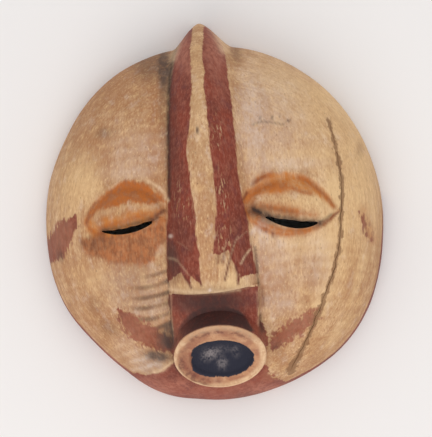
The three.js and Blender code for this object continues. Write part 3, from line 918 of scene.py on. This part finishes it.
def refine(profile, steps):
    """The same profile with points added between its own, evenly and smoothly."""
    profile = np.array(profile, float)
    count = len(profile)
    fine = np.linspace(0, count - 1, (count - 1) * steps + 1)
    return np.stack([np.interp(fine, np.arange(count), column) for column in profile.T], -1)


def make_tube():
    """The outside of the mouth, with a rounded lip."""
    side = [(0.97, 0.97, MOUTH_ROOT, 0), (1, 1, 5, 0)]
    lip = [(0.998, 0.998, 3, 0), (0.99, 0.99, 1.5, 0), (0.972, 0.972, 0.5, 0)]
    face = [(0.945, 0.945, 0, 0), (0.90, 0.90, 0, 0)]
    return loft_object("tube", mouth_rings([*refine(side, 22), *lip, *face]))


def make_mouth_hollow():
    """What is cut from the tube: a shallow dish, then the blind hollow."""
    wide, tall = HOLLOW_WIDE, HOLLOW_TALL
    mouth = [
        (0.93, 0.93, -4, 0),
        (0.925, 0.925, -0.3, 0),
        (0.91, 0.91, 0.4, 0.06),
        (0.88, 0.875, 0.9, 0.15),
        (mix(wide, 1, 0.45), mix(tall, 1, 0.45), 1.5, 0.5),
        (mix(wide, 1, 0.15), mix(tall, 1, 0.15), 2.2, 0.85),
        (1.01 * wide, 1.02 * tall, 2.8, 1),
        (0.985 * wide, 0.98 * tall, 4.0, 1),
        (0.93 * wide, 0.93 * tall, 6.5, 1),
        (0.70 * wide, 0.70 * tall, 11, 1),
        (0.35 * wide, 0.35 * tall, 13.2, 1),
        (0.08 * wide, 0.08 * tall, 13.8, 1),
    ]
    return loft_object("mouth_hollow", mouth_rings(refine(mouth, 3)))


def make_hollow():
    """What is carved out behind the face, with the scoops that a gouge leaves."""
    x, y, z = dome_grid(HOLLOW_CELLS, WALL)
    turn = rng.random(SCOOPS) * 2 * math.pi
    share = rng.random(SCOOPS) ** 0.5
    seed_x = share * HALF_WIDTH * np.cos(turn)
    seed_y = share * HALF_HEIGHT * np.sin(turn)
    seed_z = dome_height(seed_x, seed_y, WALL)
    nearest = np.full(x.shape, 1e9)
    for seed in zip(seed_x, seed_y, seed_z):
        away = sum(((p - q) / size) ** 2 for p, q, size in zip((x, y, z), seed, SCOOP_SHAPE))
        nearest = np.minimum(nearest, away)
    scoop = SCOOP_DEPTH - np.minimum(nearest / SCOOP_SPREAD, SCOOP_DEPTH)
    outwards = 1 + (scoop - SCOOP_LEVEL) / HALF_WIDTH
    top = np.stack([x * outwards, y * outwards, z * outwards], -1)
    return grid_object("hollow", top, flat_below(top, BELOW + 4))


def make_slit(eye):
    """The cutter of one eye's slit, right through the wall."""
    t = np.linspace(eye["slit"][0], eye["slit"][1], SLIT_STEPS)
    x = mix(eye["inner"][0], eye["outer"][0], t)
    lower = eye_line(eye, x)[2]
    part = np.linspace(0.015, 0.985, SLIT_STEPS)
    ragged = 0.35 * wander(x, 0.0, 3.0, 4)
    blunt = np.sin(math.pi * part ** eye["blunt"]) ** 0.55
    half = eye["gap"] / 2 * blunt * (1 + 0.25 * ragged)
    height = dome_height(x, lower)
    middle = lower + ragged
    rings = []
    bottom = -WALL - OVERCUT
    for side, rise in ((1, OVERCUT), (-1, OVERCUT), (-1, bottom), (1, bottom)):
        rings.append(np.stack([x, middle + side * half, height + rise], -1))
    return loft_object("slit_" + eye["name"], np.stack(rings, 1))


def make_crack():
    """The cutter of the drying crack: a ragged wedge that leans as it goes in."""
    corners = np.array(CRACK_LINE, float)
    run = np.concatenate([[0], np.cumsum(np.hypot(*np.diff(corners, axis=0).T))])
    along = np.linspace(0, run[-1], CRACK_STEPS)
    x = np.interp(along, run, corners[:, 0])
    y = np.interp(along, run, corners[:, 1])
    x = x + 0.7 * wander(along, 0.0, 0.0, 7) + 0.4 * wander(along, 5.0, 0.0, 2.5)
    width = np.interp(along, run, CRACK_WIDTHS) * (1 + 0.35 * wander(along, 9.0, 0.0, 3.5))
    ends = np.minimum(smooth_step(along, 0, 14), smooth_step(run[-1] - along, 0, 6))
    half = width / 2 * mix(0.25, 1, ends)
    z = dome_height(x, y)
    rings = []
    for side, rise in ((1, 3), (-1, 3), (-0.3, -CRACK_DEPTH), (0.3, -CRACK_DEPTH)):
        rings.append(np.stack([x + side * half + CRACK_LEAN * rise, y, z + rise], -1))
    return loft_object("crack", np.stack(rings, 1))


def carve(body, tools, operation):
    """Joins tools to a body, or cuts them out of it."""
    for tool in tools:
        cut = body.modifiers.new(tool.name, "BOOLEAN")
        cut.operation = operation
        cut.solver = "MANIFOLD"
        cut.object = tool


def finished(body, name):
    """The body with all its joins and cuts made, as one plain mesh; every tool is deleted."""
    depsgraph = bpy.context.evaluated_depsgraph_get()
    mesh = bpy.data.meshes.new_from_object(body.evaluated_get(depsgraph))
    mesh.name = name
    for tool in TOOLS:
        bpy.data.objects.remove(tool)
    return placed(name, mesh)


def make_mask():
    """The mask as one mesh: joined, hollowed, cut and sawn off flat at the back."""
    dome = make_dome()
    carve(dome, [make_ridge(), make_band(), make_tube()], "UNION")
    sides = (-SAW_HALF, SAW_HALF)
    saw = np.array([[x, y, z] for z in (-SAW_DEPTH, 0) for y in sides for x in sides])
    cuts = [make_hollow(), make_mouth_hollow(), *map(make_slit, EYES), make_crack()]
    carve(dome, [*cuts, box_object("saw", saw)], "DIFFERENCE")
    made = finished(dome, "carved_mask")
    form = bmesh.new()
    form.from_mesh(made.data)
    bmesh.ops.remove_doubles(form, verts=form.verts[:], dist=MERGE_DISTANCE)
    bmesh.ops.dissolve_degenerate(form, edges=form.edges[:], dist=MERGE_DISTANCE)
    form.to_mesh(made.data)
    form.free()
    made.data.shade_smooth()
    made.data.set_sharp_from_angle(angle=SHARP_ANGLE)
    return made


def read_all(items, key, width, kind):
    """One property of every item, as an array."""
    values = np.empty(width * len(items), kind)
    items.foreach_get(key, values)
    return values


def corner_points(mesh):
    """Every corner of every face in the mask's millimetres, a little off the face."""
    points = read_all(mesh.vertices, "co", 3, np.float32).reshape(-1, 3)
    normals = read_all(mesh.polygons, "normal", 3, np.float32).reshape(-1, 3)
    corner_vertex = read_all(mesh.loops, "vertex_index", 1, np.int32)
    sides = read_all(mesh.polygons, "loop_total", 1, np.int32)
    place = 1000 * points[corner_vertex] - np.array([*RIM_CENTRE, 0])
    return (place + OFF_FACE * np.repeat(normals, sides, axis=0)).T


def inside_distance(x, y, outline):
    """Distance to a closed outline, positive inside it and negative outside."""
    away = line_distance(x, y, [*outline, outline[0]])
    inside = np.zeros(np.shape(x), bool)
    for (ax, ay), (bx, by) in zip(outline, [*outline[1:], outline[0]]):
        if ay != by:
            crosses = (ay > y) != (by > y)
            inside ^= crosses & (x < (bx - ax) * (y - ay) / (by - ay) + ax)
    return np.where(inside, away, -away)


def soft_patches(x, y, patches):
    """Sum of soft ellipses, held to 1."""
    total = np.zeros(np.shape(x))
    for middle_x, middle_y, half_x, half_y, strength, *degrees in patches:
        turn = math.radians(sum(degrees))
        across = math.cos(turn) * (x - middle_x) + math.sin(turn) * (y - middle_y)
        along = math.cos(turn) * (y - middle_y) - math.sin(turn) * (x - middle_x)
        away = (across / half_x) ** 2 + (along / half_y) ** 2
        total = total + strength * np.exp(-(away**1.5))
    return np.minimum(total, 1)


def above_nose_end(x, y, z):
    """Distance above the plane that ends the nose."""
    normal = turned(np.array([[0, 1, 0]], float), (NOSE_END_UNDER, NOSE_END_ASKEW))[0]
    return x * normal[0] + (y - NOSE_END_Y) * normal[1] + (z - NOSE_END_Z) * normal[2]


def mouth_place(y, z):
    """Distance up the mouth's face from its middle, and depth behind the face."""
    up = (y - MOUTH_FACE_Y) * math.cos(MOUTH_TILT) + (z - MOUTH_FACE_Z) * math.sin(MOUTH_TILT)
    deep = (y - MOUTH_FACE_Y) * math.sin(MOUTH_TILT) - (z - MOUTH_FACE_Z) * math.cos(MOUTH_TILT)
    return up, deep


def within(x, y, outlines):
    """Distance inside the nearest of some outlines, positive in it."""
    distance = np.full(np.shape(x), -1e9)
    for outline in outlines:
        distance = np.maximum(distance, inside_distance(x, y, outline))
    return distance


def soft_lines(x, y, lines):
    """Strength of a set of lines, each soft across."""
    total = np.zeros(np.shape(x))
    for half_width, strength, *line in lines:
        total = np.maximum(total, strength * bell(line_distance(x, y, line), half_width))
    return total


def red_distance(x, y, z, on_side, on_face):
    """Distance inside the red paint. The nose's end parts the crest's paint from the band's."""
    crest = np.minimum(inside_distance(x, y, CREST_PAINT), -inside_distance(x, y, BARE_STRIPE))
    above = above_nose_end(x, y, z)
    red = np.where(above > -0.1, crest, inside_distance(x, y, BAND_PAINT))
    red = np.maximum(red, within(x, y, (*CHEEK_PAINT, *TEMPLE_PAINT, CHIN_PAINT)))
    rim = np.interp(turn_of(x, y), *zip(*RIM_PAINT)) - z
    red = np.maximum(red, np.minimum(rim, RIM_RED))
    return np.where(on_side, TUBE_RED, np.where(on_face, FACE_BARE, red))


def black_distance(x, up):
    """Distance inside the black paint of the mouth's hollow."""
    dish_x = abs(x - HOLLOW_ACROSS) / (1.02 * HOLLOW_WIDE * MOUTH_HALF_WIDTH)
    dish_up = abs(up - HOLLOW_UP) / (HOLLOW_TALL * MOUTH_HALF_HEIGHT)
    fullness = np.where(x < HOLLOW_ACROSS, 2.5, 2)
    share = (dish_x**fullness + dish_up**fullness) ** (1 / fullness)
    return np.minimum(26 * (1 - share), x - DISH_LEFT)


def mouth_painted_shade(x, y, z, up, on_side):
    """Painted shade over the top side of the tube and on the band above it."""
    # painted shade: the tube's top side and the band just over it are made dark
    side = on_side * fade((up, 0, 26), (-abs(x + 6), -40, -16))
    band_shade = smooth_step(inside_distance(x, y, MOUTH_PAINTED_SHADE), -1.2, 1.4)
    band_shade = band_shade * (above_nose_end(x, y, z) < 0.5)
    return np.maximum(0.90 * side, band_shade * mix(0.50, 0.92, smooth_step(x, -34, -20)))


def paint_fields(mesh):
    """What each corner carries of every paint, stain, cut, painted light and painted shade, by name."""
    x, y, z = corner_points(mesh)
    buried = MEAN_RADIUS * (1 - dome_level(x, y, z) ** (1 / FULLNESS))
    up, deep = mouth_place(y, z)
    round_share = np.hypot(x / MOUTH_HALF_WIDTH, up / MOUTH_HALF_HEIGHT)
    on_tube = (deep > -2) & (deep < MOUTH_ROOT) & (round_share < TUBE_REACH) & (buried < 1)
    on_side = on_tube & (round_share > SIDE_FROM) & (deep > SIDE_BELOW)
    on_face = on_tube & ~on_side

    fields = {name: soft_patches(x, y, rows) for name, rows in PATCHES.items()}
    fields |= {name: soft_lines(x, y, rows) for name, rows in LINES.items()}
    fields["shade"] = np.maximum(fields["shade"], mouth_painted_shade(x, y, z, up, on_side))
    for name in ("soot", "shade", "dirt_and_crease_shade", "worn_edge_and_highlight"):
        fields[name] = fields[name] * ~on_face

    red = red_distance(x, y, z, on_side, on_face)
    fields["red"] = red
    fields["chalk"] = fields["chalk"] * (red < 1)
    for name, outlines in (("thick", LID_PAINT), ("wash", LID_WASH), ("rust", UNDER_EYE_PAINT)):
        fields[name] = np.where(red > 0, RED_OVER, within(x, y, outlines))
    fields["black"] = np.where(on_face, black_distance(x, up), NO_BLACK)
    fields["ring"] = np.where(on_face, round_share, 0)
    fields["ring_left"] = fade((-x, -14, 26), (-up, -34, 10))
    fields["ring_top"] = fade((up, 14, 28))

    beside_crest = abs(x + 4) > 40
    fields["cheek_cuts"] = np.clip(-cheek_cuts(x, y), 0, CHEEK_CUT_DEPTH) * beside_crest
    fields["soft_cuts"] = np.clip(-soft_cuts(x, y), 0, 0.6) * beside_crest
    fields["crack"] = line_distance(x, y, CRACK_LINE) - np.interp(y, *zip(*CRACK_SPREAD))
    fields["buried"] = buried
    fields["outwards"] = np.hypot(x, y)
    fields["around"] = np.radians((turn_of(x, y) - 270) % 360) * RASP_RADIUS
    return fields


class Graph:
    """Adds shader nodes to one material and links them."""

    def __init__(self, material):
        material.use_nodes = True
        self.tree = material.node_tree
        self.place = self.add("ShaderNodeTexCoord").outputs["Object"]

    def add(self, kind, **settings):
        node = self.tree.nodes.new(kind)
        for key, value in settings.items():
            setattr(node, key, value)
        return node

    def feed(self, socket, value):
        """Links a socket, or sets it to a constant."""
        if isinstance(value, bpy.types.NodeSocket):
            self.tree.links.new(value, socket)
        else:
            socket.default_value = value

    def field(self, name):
        """One of the values that paint_fields() left on the mesh."""
        return self.add("ShaderNodeAttribute", attribute_name=name).outputs["Fac"]

    def math(self, operation, *values):
        node = self.add("ShaderNodeMath", operation=operation)
        for socket, value in zip(node.inputs, values):
            self.feed(socket, value)
        return node.outputs[0]

    def total(self, *values):
        return reduce(lambda a, b: self.math("ADD", a, b), values)

    def times(self, *values):
        return reduce(lambda a, b: self.math("MULTIPLY", a, b), values)

    def most(self, *values):
        return reduce(lambda a, b: self.math("MAXIMUM", a, b), values)

    def swing(self, noise, size):
        """Noise turned into a value about 0 that spans at most size."""
        return self.times(self.math("SUBTRACT", noise, 0.5), size)

    def patchy(self, name, noise, *limits):
        """A field made uneven by a step() of some noise."""
        return self.times(self.field(name), self.step(noise, *limits))

    def noise(self, size, detail, place=None):
        """Noise from 0 to 1 whose bumps are about size millimetres along x, y and z."""
        mapping = self.add("ShaderNodeMapping")
        self.feed(mapping.inputs["Vector"], place or self.place)
        mapping.inputs["Scale"].default_value = [1000 / s for s in size]
        texture = self.add("ShaderNodeTexNoise")
        self.feed(texture.inputs["Vector"], mapping.outputs["Vector"])
        for name, setting in (("Scale", 1), ("Detail", detail), ("Roughness", NOISE_ROUGHNESS)):
            texture.inputs[name].default_value = setting
        return texture.outputs[0]

    def step(self, value, start, end, low=0, high=1):
        """low at start, high at end, smooth between."""
        node = self.add("ShaderNodeMapRange", interpolation_type="SMOOTHSTEP")
        names = ("Value", "From Min", "From Max", "To Min", "To Max")
        for name, setting in zip(names, (value, start, end, low, high)):
            self.feed(node.inputs[name], setting)
        return node.outputs[0]

    def blend(self, share, under, over):
        """One colour over another by a share."""
        node = self.add("ShaderNodeMix", data_type="RGBA")
        colours = [socket for socket in node.inputs if socket.type == "RGBA"]
        self.feed(node.inputs[0], share)
        self.feed(colours[0], linear(under))
        self.feed(colours[1], linear(over))
        return next(socket for socket in node.outputs if socket.type == "RGBA")

    def grain(self, colour, *rows):
        """Colours laid one over another in a noise's bumps: its range, the share, the colour."""
        for noise, start, end, share, over in rows:
            colour = self.blend(self.step(noise, start, end, 0, share), colour, over)
        return colour

    def layers(self, colour, *rows):
        """Colours laid one over another, each with its share."""
        for share, over in rows:
            colour = self.blend(share, colour, over)
        return colour


def linear(colour):
    """Display values from 0 to 255 as the colour of light; a socket is left as it is."""
    if isinstance(colour, bpy.types.NodeSocket):
        return colour
    shares = [value / 255 for value in colour]
    return (*[((share + 0.055) / 1.055) ** 2.4 for share in shares], 1)


def wood_textures(g):
    """Every noise that the layers use, and how far the paints' edges wander in millimetres."""
    t = SimpleNamespace(**{name: g.noise(*settings) for name, settings in TEXTURES.items()})
    t.ragged = g.total(g.swing(t.fine_edge, 8), g.swing(t.broad_edge, 7))
    round_place = g.add("ShaderNodeCombineXYZ")
    g.feed(round_place.inputs["X"], g.times(g.field("outwards"), 0.001))
    g.feed(round_place.inputs["Y"], g.times(g.field("around"), 0.001))
    t.rasp = g.noise(*RASP_TEXTURE, round_place.outputs[0])
    t.near_rim = g.step(g.field("outwards"), 70, 140, 0, 0.5)
    t.pores = g.step(t.pore, 0.68, 0.78, 0, 0.4)
    return t


def bare_wood(g, t):
    """Grain, stains, rasp lines and painted light, then chalk, less of it in the gouge cuts, which are
    darker the deeper they go.
    """
    wood = g.layers(
        LIGHT_WOOD,
        (g.step(t.band, 0.35, 0.65), DARK_WOOD),
        (g.times(0.8, g.field("yellow")), YELLOW_WOOD),
        (g.step(t.blotch, 0.4, 0.75, 0, 0.4), BROWN_WOOD),
        (g.times(0.85, g.field("brown")), BROWN_WOOD),
    )
    wood = g.grain(
        wood,
        (t.mottle, 0.45, 0.75, 0.6, DARK_WOOD),
        (t.streak, 0.48, 0.75, 0.5, BROWN_WOOD),
        (t.fibre, 0.5, 0.72, 0.6, BROWN_WOOD),
        (t.fibre, 0.45, 0.25, 0.5, LIGHT_WOOD),
        (t.tint, 0.5, 0.75, 0.5, YELLOW_WOOD),
        (t.tint, 0.45, 0.25, 0.3, CHALK_WHITE),
        (t.fleck, 0.5, 0.7, 0.62, BROWN_WOOD),
        (t.fleck, 0.44, 0.26, 0.5, BRIGHT_WOOD),
    )
    cheek = g.field("cheek_cuts")
    soft = g.field("soft_cuts")
    chalk = g.times(
        g.field("chalk"),
        g.step(t.streak, 0.25, 0.6, 0.5, 1.1),
        g.step(g.total(cheek, soft), 0.15, 0.8, 1, 0.4),
        g.step(t.mottle, 0.3, 0.6, 0.55, 1),
    )
    return g.layers(
        wood,
        (g.times(t.near_rim, g.step(t.rasp, 0.45, 0.7)), BROWN_WOOD),
        # painted light
        (g.times(0.7, g.patchy("painted_light", t.streak, 0.3, 0.6, 0.5, 1)), BRIGHT_WOOD),
        (g.times(0.75, chalk), CHALK_WHITE),
        # darker the deeper the cuts go
        (g.step(cheek, 0.25, 1.25, 0, 0.7), SOOT_GREY),
        (g.step(soft, 0.1, 0.5, 0, 0.25), BROWN_WOOD),
        (t.pores, SOOT_GREY),
    )


def ring_wood(g, t, colour):
    """The face of the mouth: reddish inside, stained on its left and top, with a pale lip."""
    ring = g.field("ring")
    left = g.field("ring_left")
    top = g.field("ring_top")
    inner = g.times(g.step(ring, 0.5, 0.62), g.step(ring, 0.93, 0.80))
    outer = g.times(g.step(ring, 0.68, 0.80), g.step(ring, 1.02, 0.90))
    patchy = g.most(g.step(t.ring_patch, 0.38, 0.62, 0, 0.9), g.times(0.7, left))
    lip = g.total(ring, g.swing(t.ring_edge, 0.14), g.times(-0.09, left))
    lip = g.times(g.step(lip, 0.80, 0.90), g.step(t.mottle, 0.35, 0.6, 0.35, 0.8))
    return g.layers(
        colour,
        (g.step(ring, 0.3, 0.5, 0, 0.7), RING_WOOD),
        (g.times(inner, patchy, g.step(left, 0, 1, 0.6, 1)), RING_RED),
        (g.times(outer, g.most(left, top), g.step(t.mottle, 0.4, 0.6, 0.2, 0.7)), RING_SHADE),
        (g.times(lip, g.step(top, 0, 1, 1, 0.4)), LIP_WOOD),
    )


def paint_edge(g, t, name, raggedness, start, end):
    """How much of a paint is there, from its distance and a ragged edge."""
    return g.step(g.total(g.field(name), g.times(raggedness, t.ragged)), start, end)


def orange_paint(g, t, colour):
    """Brown under the left eye, then thin orange about the eyes and thick on the lids."""
    rust = g.times(paint_edge(g, t, "rust", 0.8, -4, 3), g.step(t.fibre, 0.35, 0.65, 0.95, 0.684))
    wash = g.times(
        paint_edge(g, t, "wash", 0.6, -3, 3),
        g.step(t.mottle, 0.35, 0.65, 1, 0.6),
        g.step(t.streak, 0.35, 0.65, 1, 0.6),
    )
    thick = g.times(paint_edge(g, t, "thick", 0.8, -3, 2), g.step(t.mottle, 0.35, 0.7, 1, 0.75))
    lines = g.times(
        g.field("rust_line"),
        g.step(t.mottle, 0.35, 0.7, 1, 0.7),
        g.step(t.streak, 0.45, 0.75, 1, 0.7),
    )
    t.orange = g.most(thick, lines)
    orange = g.grain(
        ORANGE_PAINT,
        (t.mottle, 0.35, 0.65, 0.8, ORANGE_SHADE),
        (t.fibre, 0.5, 0.75, 0.35, WASH_PAINT),
    )
    return g.layers(
        colour,
        (rust, g.blend(g.step(t.mottle, 0.35, 0.65), RUST_PAINT, RUST_SHADE)),
        (wash, WASH_PAINT),
        (t.orange, orange),
    )


def red_paint(g, t, colour):
    """Red, chipped on the crest and thin where it is worn."""
    worn = g.field("worn")
    patchy = g.total(t.streak, t.mottle)
    wear = g.times(worn, g.step(patchy, 0.85, 1.15, -3.5, 2.5))
    edge = g.total(g.field("red"), g.times(0.45, t.ragged), wear)
    edge = g.times(edge, g.step(worn, 0, 1, 1, 0.22))
    chip = g.patchy("chips", t.chip, 0.56, 0.64)
    whole = g.math("SUBTRACT", 1, chip)
    t.red = g.times(g.step(edge, -0.8, 0.8), g.step(worn, 0, 1, 1, 0.80), whole)
    red = g.grain(
        RED_PAINT,
        (t.blotch, 0.35, 0.7, 0.7, RED_SHADE),
        (t.streak, 0.5, 0.72, 0.5, RED_SHADE),
        (t.tint, 0.5, 0.7, 0.4, RED_PURPLE),
        (t.mottle, 0.45, 0.75, 0.45, PALE_RED),
        (t.fibre, 0.52, 0.76, 0.45, PALE_RED),
        (t.fleck, 0.5, 0.72, 0.35, PALE_RED),
    )
    # dust, and painted sheen on the crest's tip
    red = g.blend(g.patchy("dust_and_sheen", patchy, 0.8, 1.2, 0.4, 1), red, PALE_RED)
    red = g.grain(red, (t.fleck, 0.46, 0.26, 0.45, RED_SHADE))
    return g.layers(colour, (t.red, red), (g.field("red_line"), RED_SHADE))


def black_dirt_and_shade(g, t, colour):
    """Black in the mouth's hollow, then soot, painted shade with grime, dirt and painted shade in the
    creases, worn edges and painted highlights, and white spots and painted glints.
    """
    black = g.total(g.field("black"), g.times(0.4, t.ragged))
    smudge = g.times(g.field("smudge"), g.step(g.total(t.fleck, t.mottle), 0.7, 1.2))
    soot = g.times(0.8, g.field("soot"), g.step(t.streak, 0.2, 0.6, 0.6, 1.1))
    return g.layers(
        colour,
        (g.step(black, -0.6, 0.6), g.blend(smudge, BLACK_PAINT, SMUDGE_GREY)),
        (soot, SOOT_GREY),
        # painted shade, with some grime
        (g.patchy("shade", t.mottle, 0.2, 0.6, 0.8, 1), SHADE_AND_GRIME_BROWN),
        # dirt and painted shade in the creases
        (g.patchy("dirt_and_crease_shade", t.mottle, 0.3, 0.6, 0.7, 1), DEEP_BROWN),
        # worn edges and painted highlights
        (g.patchy("worn_edge_and_highlight", t.mottle, 0.3, 0.6, 0.5, 1), LIP_WOOD),
        # white spots and painted glints
        (g.field("spots_and_glints"), CHALK_WHITE),
    )


def cut_wood(g, t, colour):
    """Wood darker the deeper it lies under the face: behind it, in the slits and in the crack; and brown
    dirt along the crack.
    """
    buried = g.field("buried")
    inner = g.blend(g.step(t.fibre, 0.3, 0.7), INNER_WOOD, DEEP_WOOD)
    crack = g.total(g.field("crack"), g.swing(t.mottle, 9))
    crack = g.step(crack, CRACK_DIRT + 0.9, CRACK_DIRT - 0.9, 0, 0.78)
    crack = g.times(crack, g.step(buried, CRACK_DEPTH + 4, CRACK_DEPTH + 2))
    return g.layers(colour, (g.step(buried, 1.2, 3), inner), (crack, CRACK_BROWN))


def paint_wood(material):
    """Grained wood under chalk, orange, red and black paint, with wear, dirt, painted light and painted
    shade.
    """
    g = Graph(material)
    t = wood_textures(g)
    colour = bare_wood(g, t)
    for add_layer in (ring_wood, orange_paint, red_paint, black_dirt_and_shade, cut_wood):
        colour = add_layer(g, t, colour)
    shader = g.tree.nodes["Principled BSDF"]
    g.feed(shader.inputs["Base Color"], colour)

    painted = g.most(t.red, t.orange)
    rough = g.total(
        ROUGHNESS, g.times(-PAINT_SMOOTHS, painted), g.swing(t.fibre, GRAIN_ROUGHENS)
    )
    g.feed(shader.inputs["Roughness"], rough)
    shader.inputs["Specular IOR Level"].default_value = SPECULAR

    height = g.total(
        g.times(0.35, t.fibre), g.times(0.3, t.streak), g.times(0.2, t.red),
        g.times(0.1, t.orange), g.times(-0.4, t.pores), g.times(0.3, t.mottle),
        g.times(0.2, t.near_rim, t.rasp),
    )
    bump = g.add("ShaderNodeBump")
    bump.inputs["Strength"].default_value = BUMP_STRENGTH
    bump.inputs["Distance"].default_value = BUMP_DISTANCE
    g.feed(bump.inputs["Height"], height)
    g.feed(shader.inputs["Normal"], bump.outputs["Normal"])


def paint_mask(mesh):
    """Puts the paint's values on the mesh and its one material over it."""
    for name, values in paint_fields(mesh).items():
        layer = mesh.attributes.new(name, "FLOAT", "CORNER")
        layer.data.foreach_set("value", values.astype(np.float32))
    material = bpy.data.materials.new("painted_wood")
    paint_wood(material)
    mesh.materials.clear()  # joining leaves an empty slot
    mesh.materials.append(material)


def make_camera():
    """The photograph's camera, straight above the face and turned a little."""
    right = np.array([math.cos(CAMERA_ROLL), -math.sin(CAMERA_ROLL)])
    up = np.array([math.sin(CAMERA_ROLL), math.cos(CAMERA_ROLL)])
    offset_x = PIXEL_SIZE * (PHOTO_WIDTH / 2 - RIM_CENTRE_PIXEL[0])
    offset_y = PIXEL_SIZE * (RIM_CENTRE_PIXEL[1] - PHOTO_HEIGHT / 2)
    aim = offset_x * right + offset_y * up
    lens = bpy.data.cameras.new("camera")
    lens.sensor_fit = "HORIZONTAL"
    lens.sensor_width = SENSOR_WIDTH
    lens.lens = SENSOR_WIDTH * CAMERA_DISTANCE / (PIXEL_SIZE * PHOTO_WIDTH)
    lens.clip_end = CLIP_END
    camera = placed("camera", lens)
    camera.location = to_frame([aim[0], aim[1], CAMERA_DISTANCE])
    camera.rotation_euler = (0, 0, -CAMERA_ROLL)
    bpy.context.scene.camera = camera


def stage_floor():
    """The pale floor that the mask lies on."""
    half = FLOOR_HALF
    corners = [(-half, -half, 0), (half, -half, 0), (half, half, 0), (-half, half, 0)]
    mesh = bpy.data.meshes.new("floor")
    mesh.from_pydata(corners, [], [(0, 1, 2, 3)])
    floor = placed("floor", mesh)
    paper = bpy.data.materials.new("pale_floor")
    paper.use_nodes = True
    shader = paper.node_tree.nodes["Principled BSDF"]
    shader.inputs["Base Color"].default_value = FLOOR_COLOUR
    shader.inputs["Roughness"].default_value = FLOOR_ROUGHNESS
    mesh.materials.append(paper)


def area_light(name, place, size, power, colour):
    """A round lamp that faces the middle of the rim."""
    lamp = bpy.data.lights.new(name, "AREA")
    lamp.shape = "DISK"
    lamp.size = size
    lamp.energy = power
    lamp.color = colour
    made = placed(name, lamp)
    made.location = place
    made.rotation_euler = (-Vector(place)).to_track_quat("-Z", "Y").to_euler()


def make_sky():
    """Soft light from all round, for a picture with plain colours."""
    sky = bpy.data.worlds.new("studio")
    sky.use_nodes = True
    background = sky.node_tree.nodes["Background"]
    background.inputs["Color"].default_value = SKY_COLOUR
    background.inputs["Strength"].default_value = SKY_STRENGTH
    bpy.context.scene.world = sky
    bpy.context.scene.view_settings.view_transform = "Standard"


mask = make_mask()
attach(mask, "root")
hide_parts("mask")
paint_mask(mask.data)

make_camera()
stage_floor()
for name, settings in LAMPS.items():
    area_light(name, *settings)
make_sky()
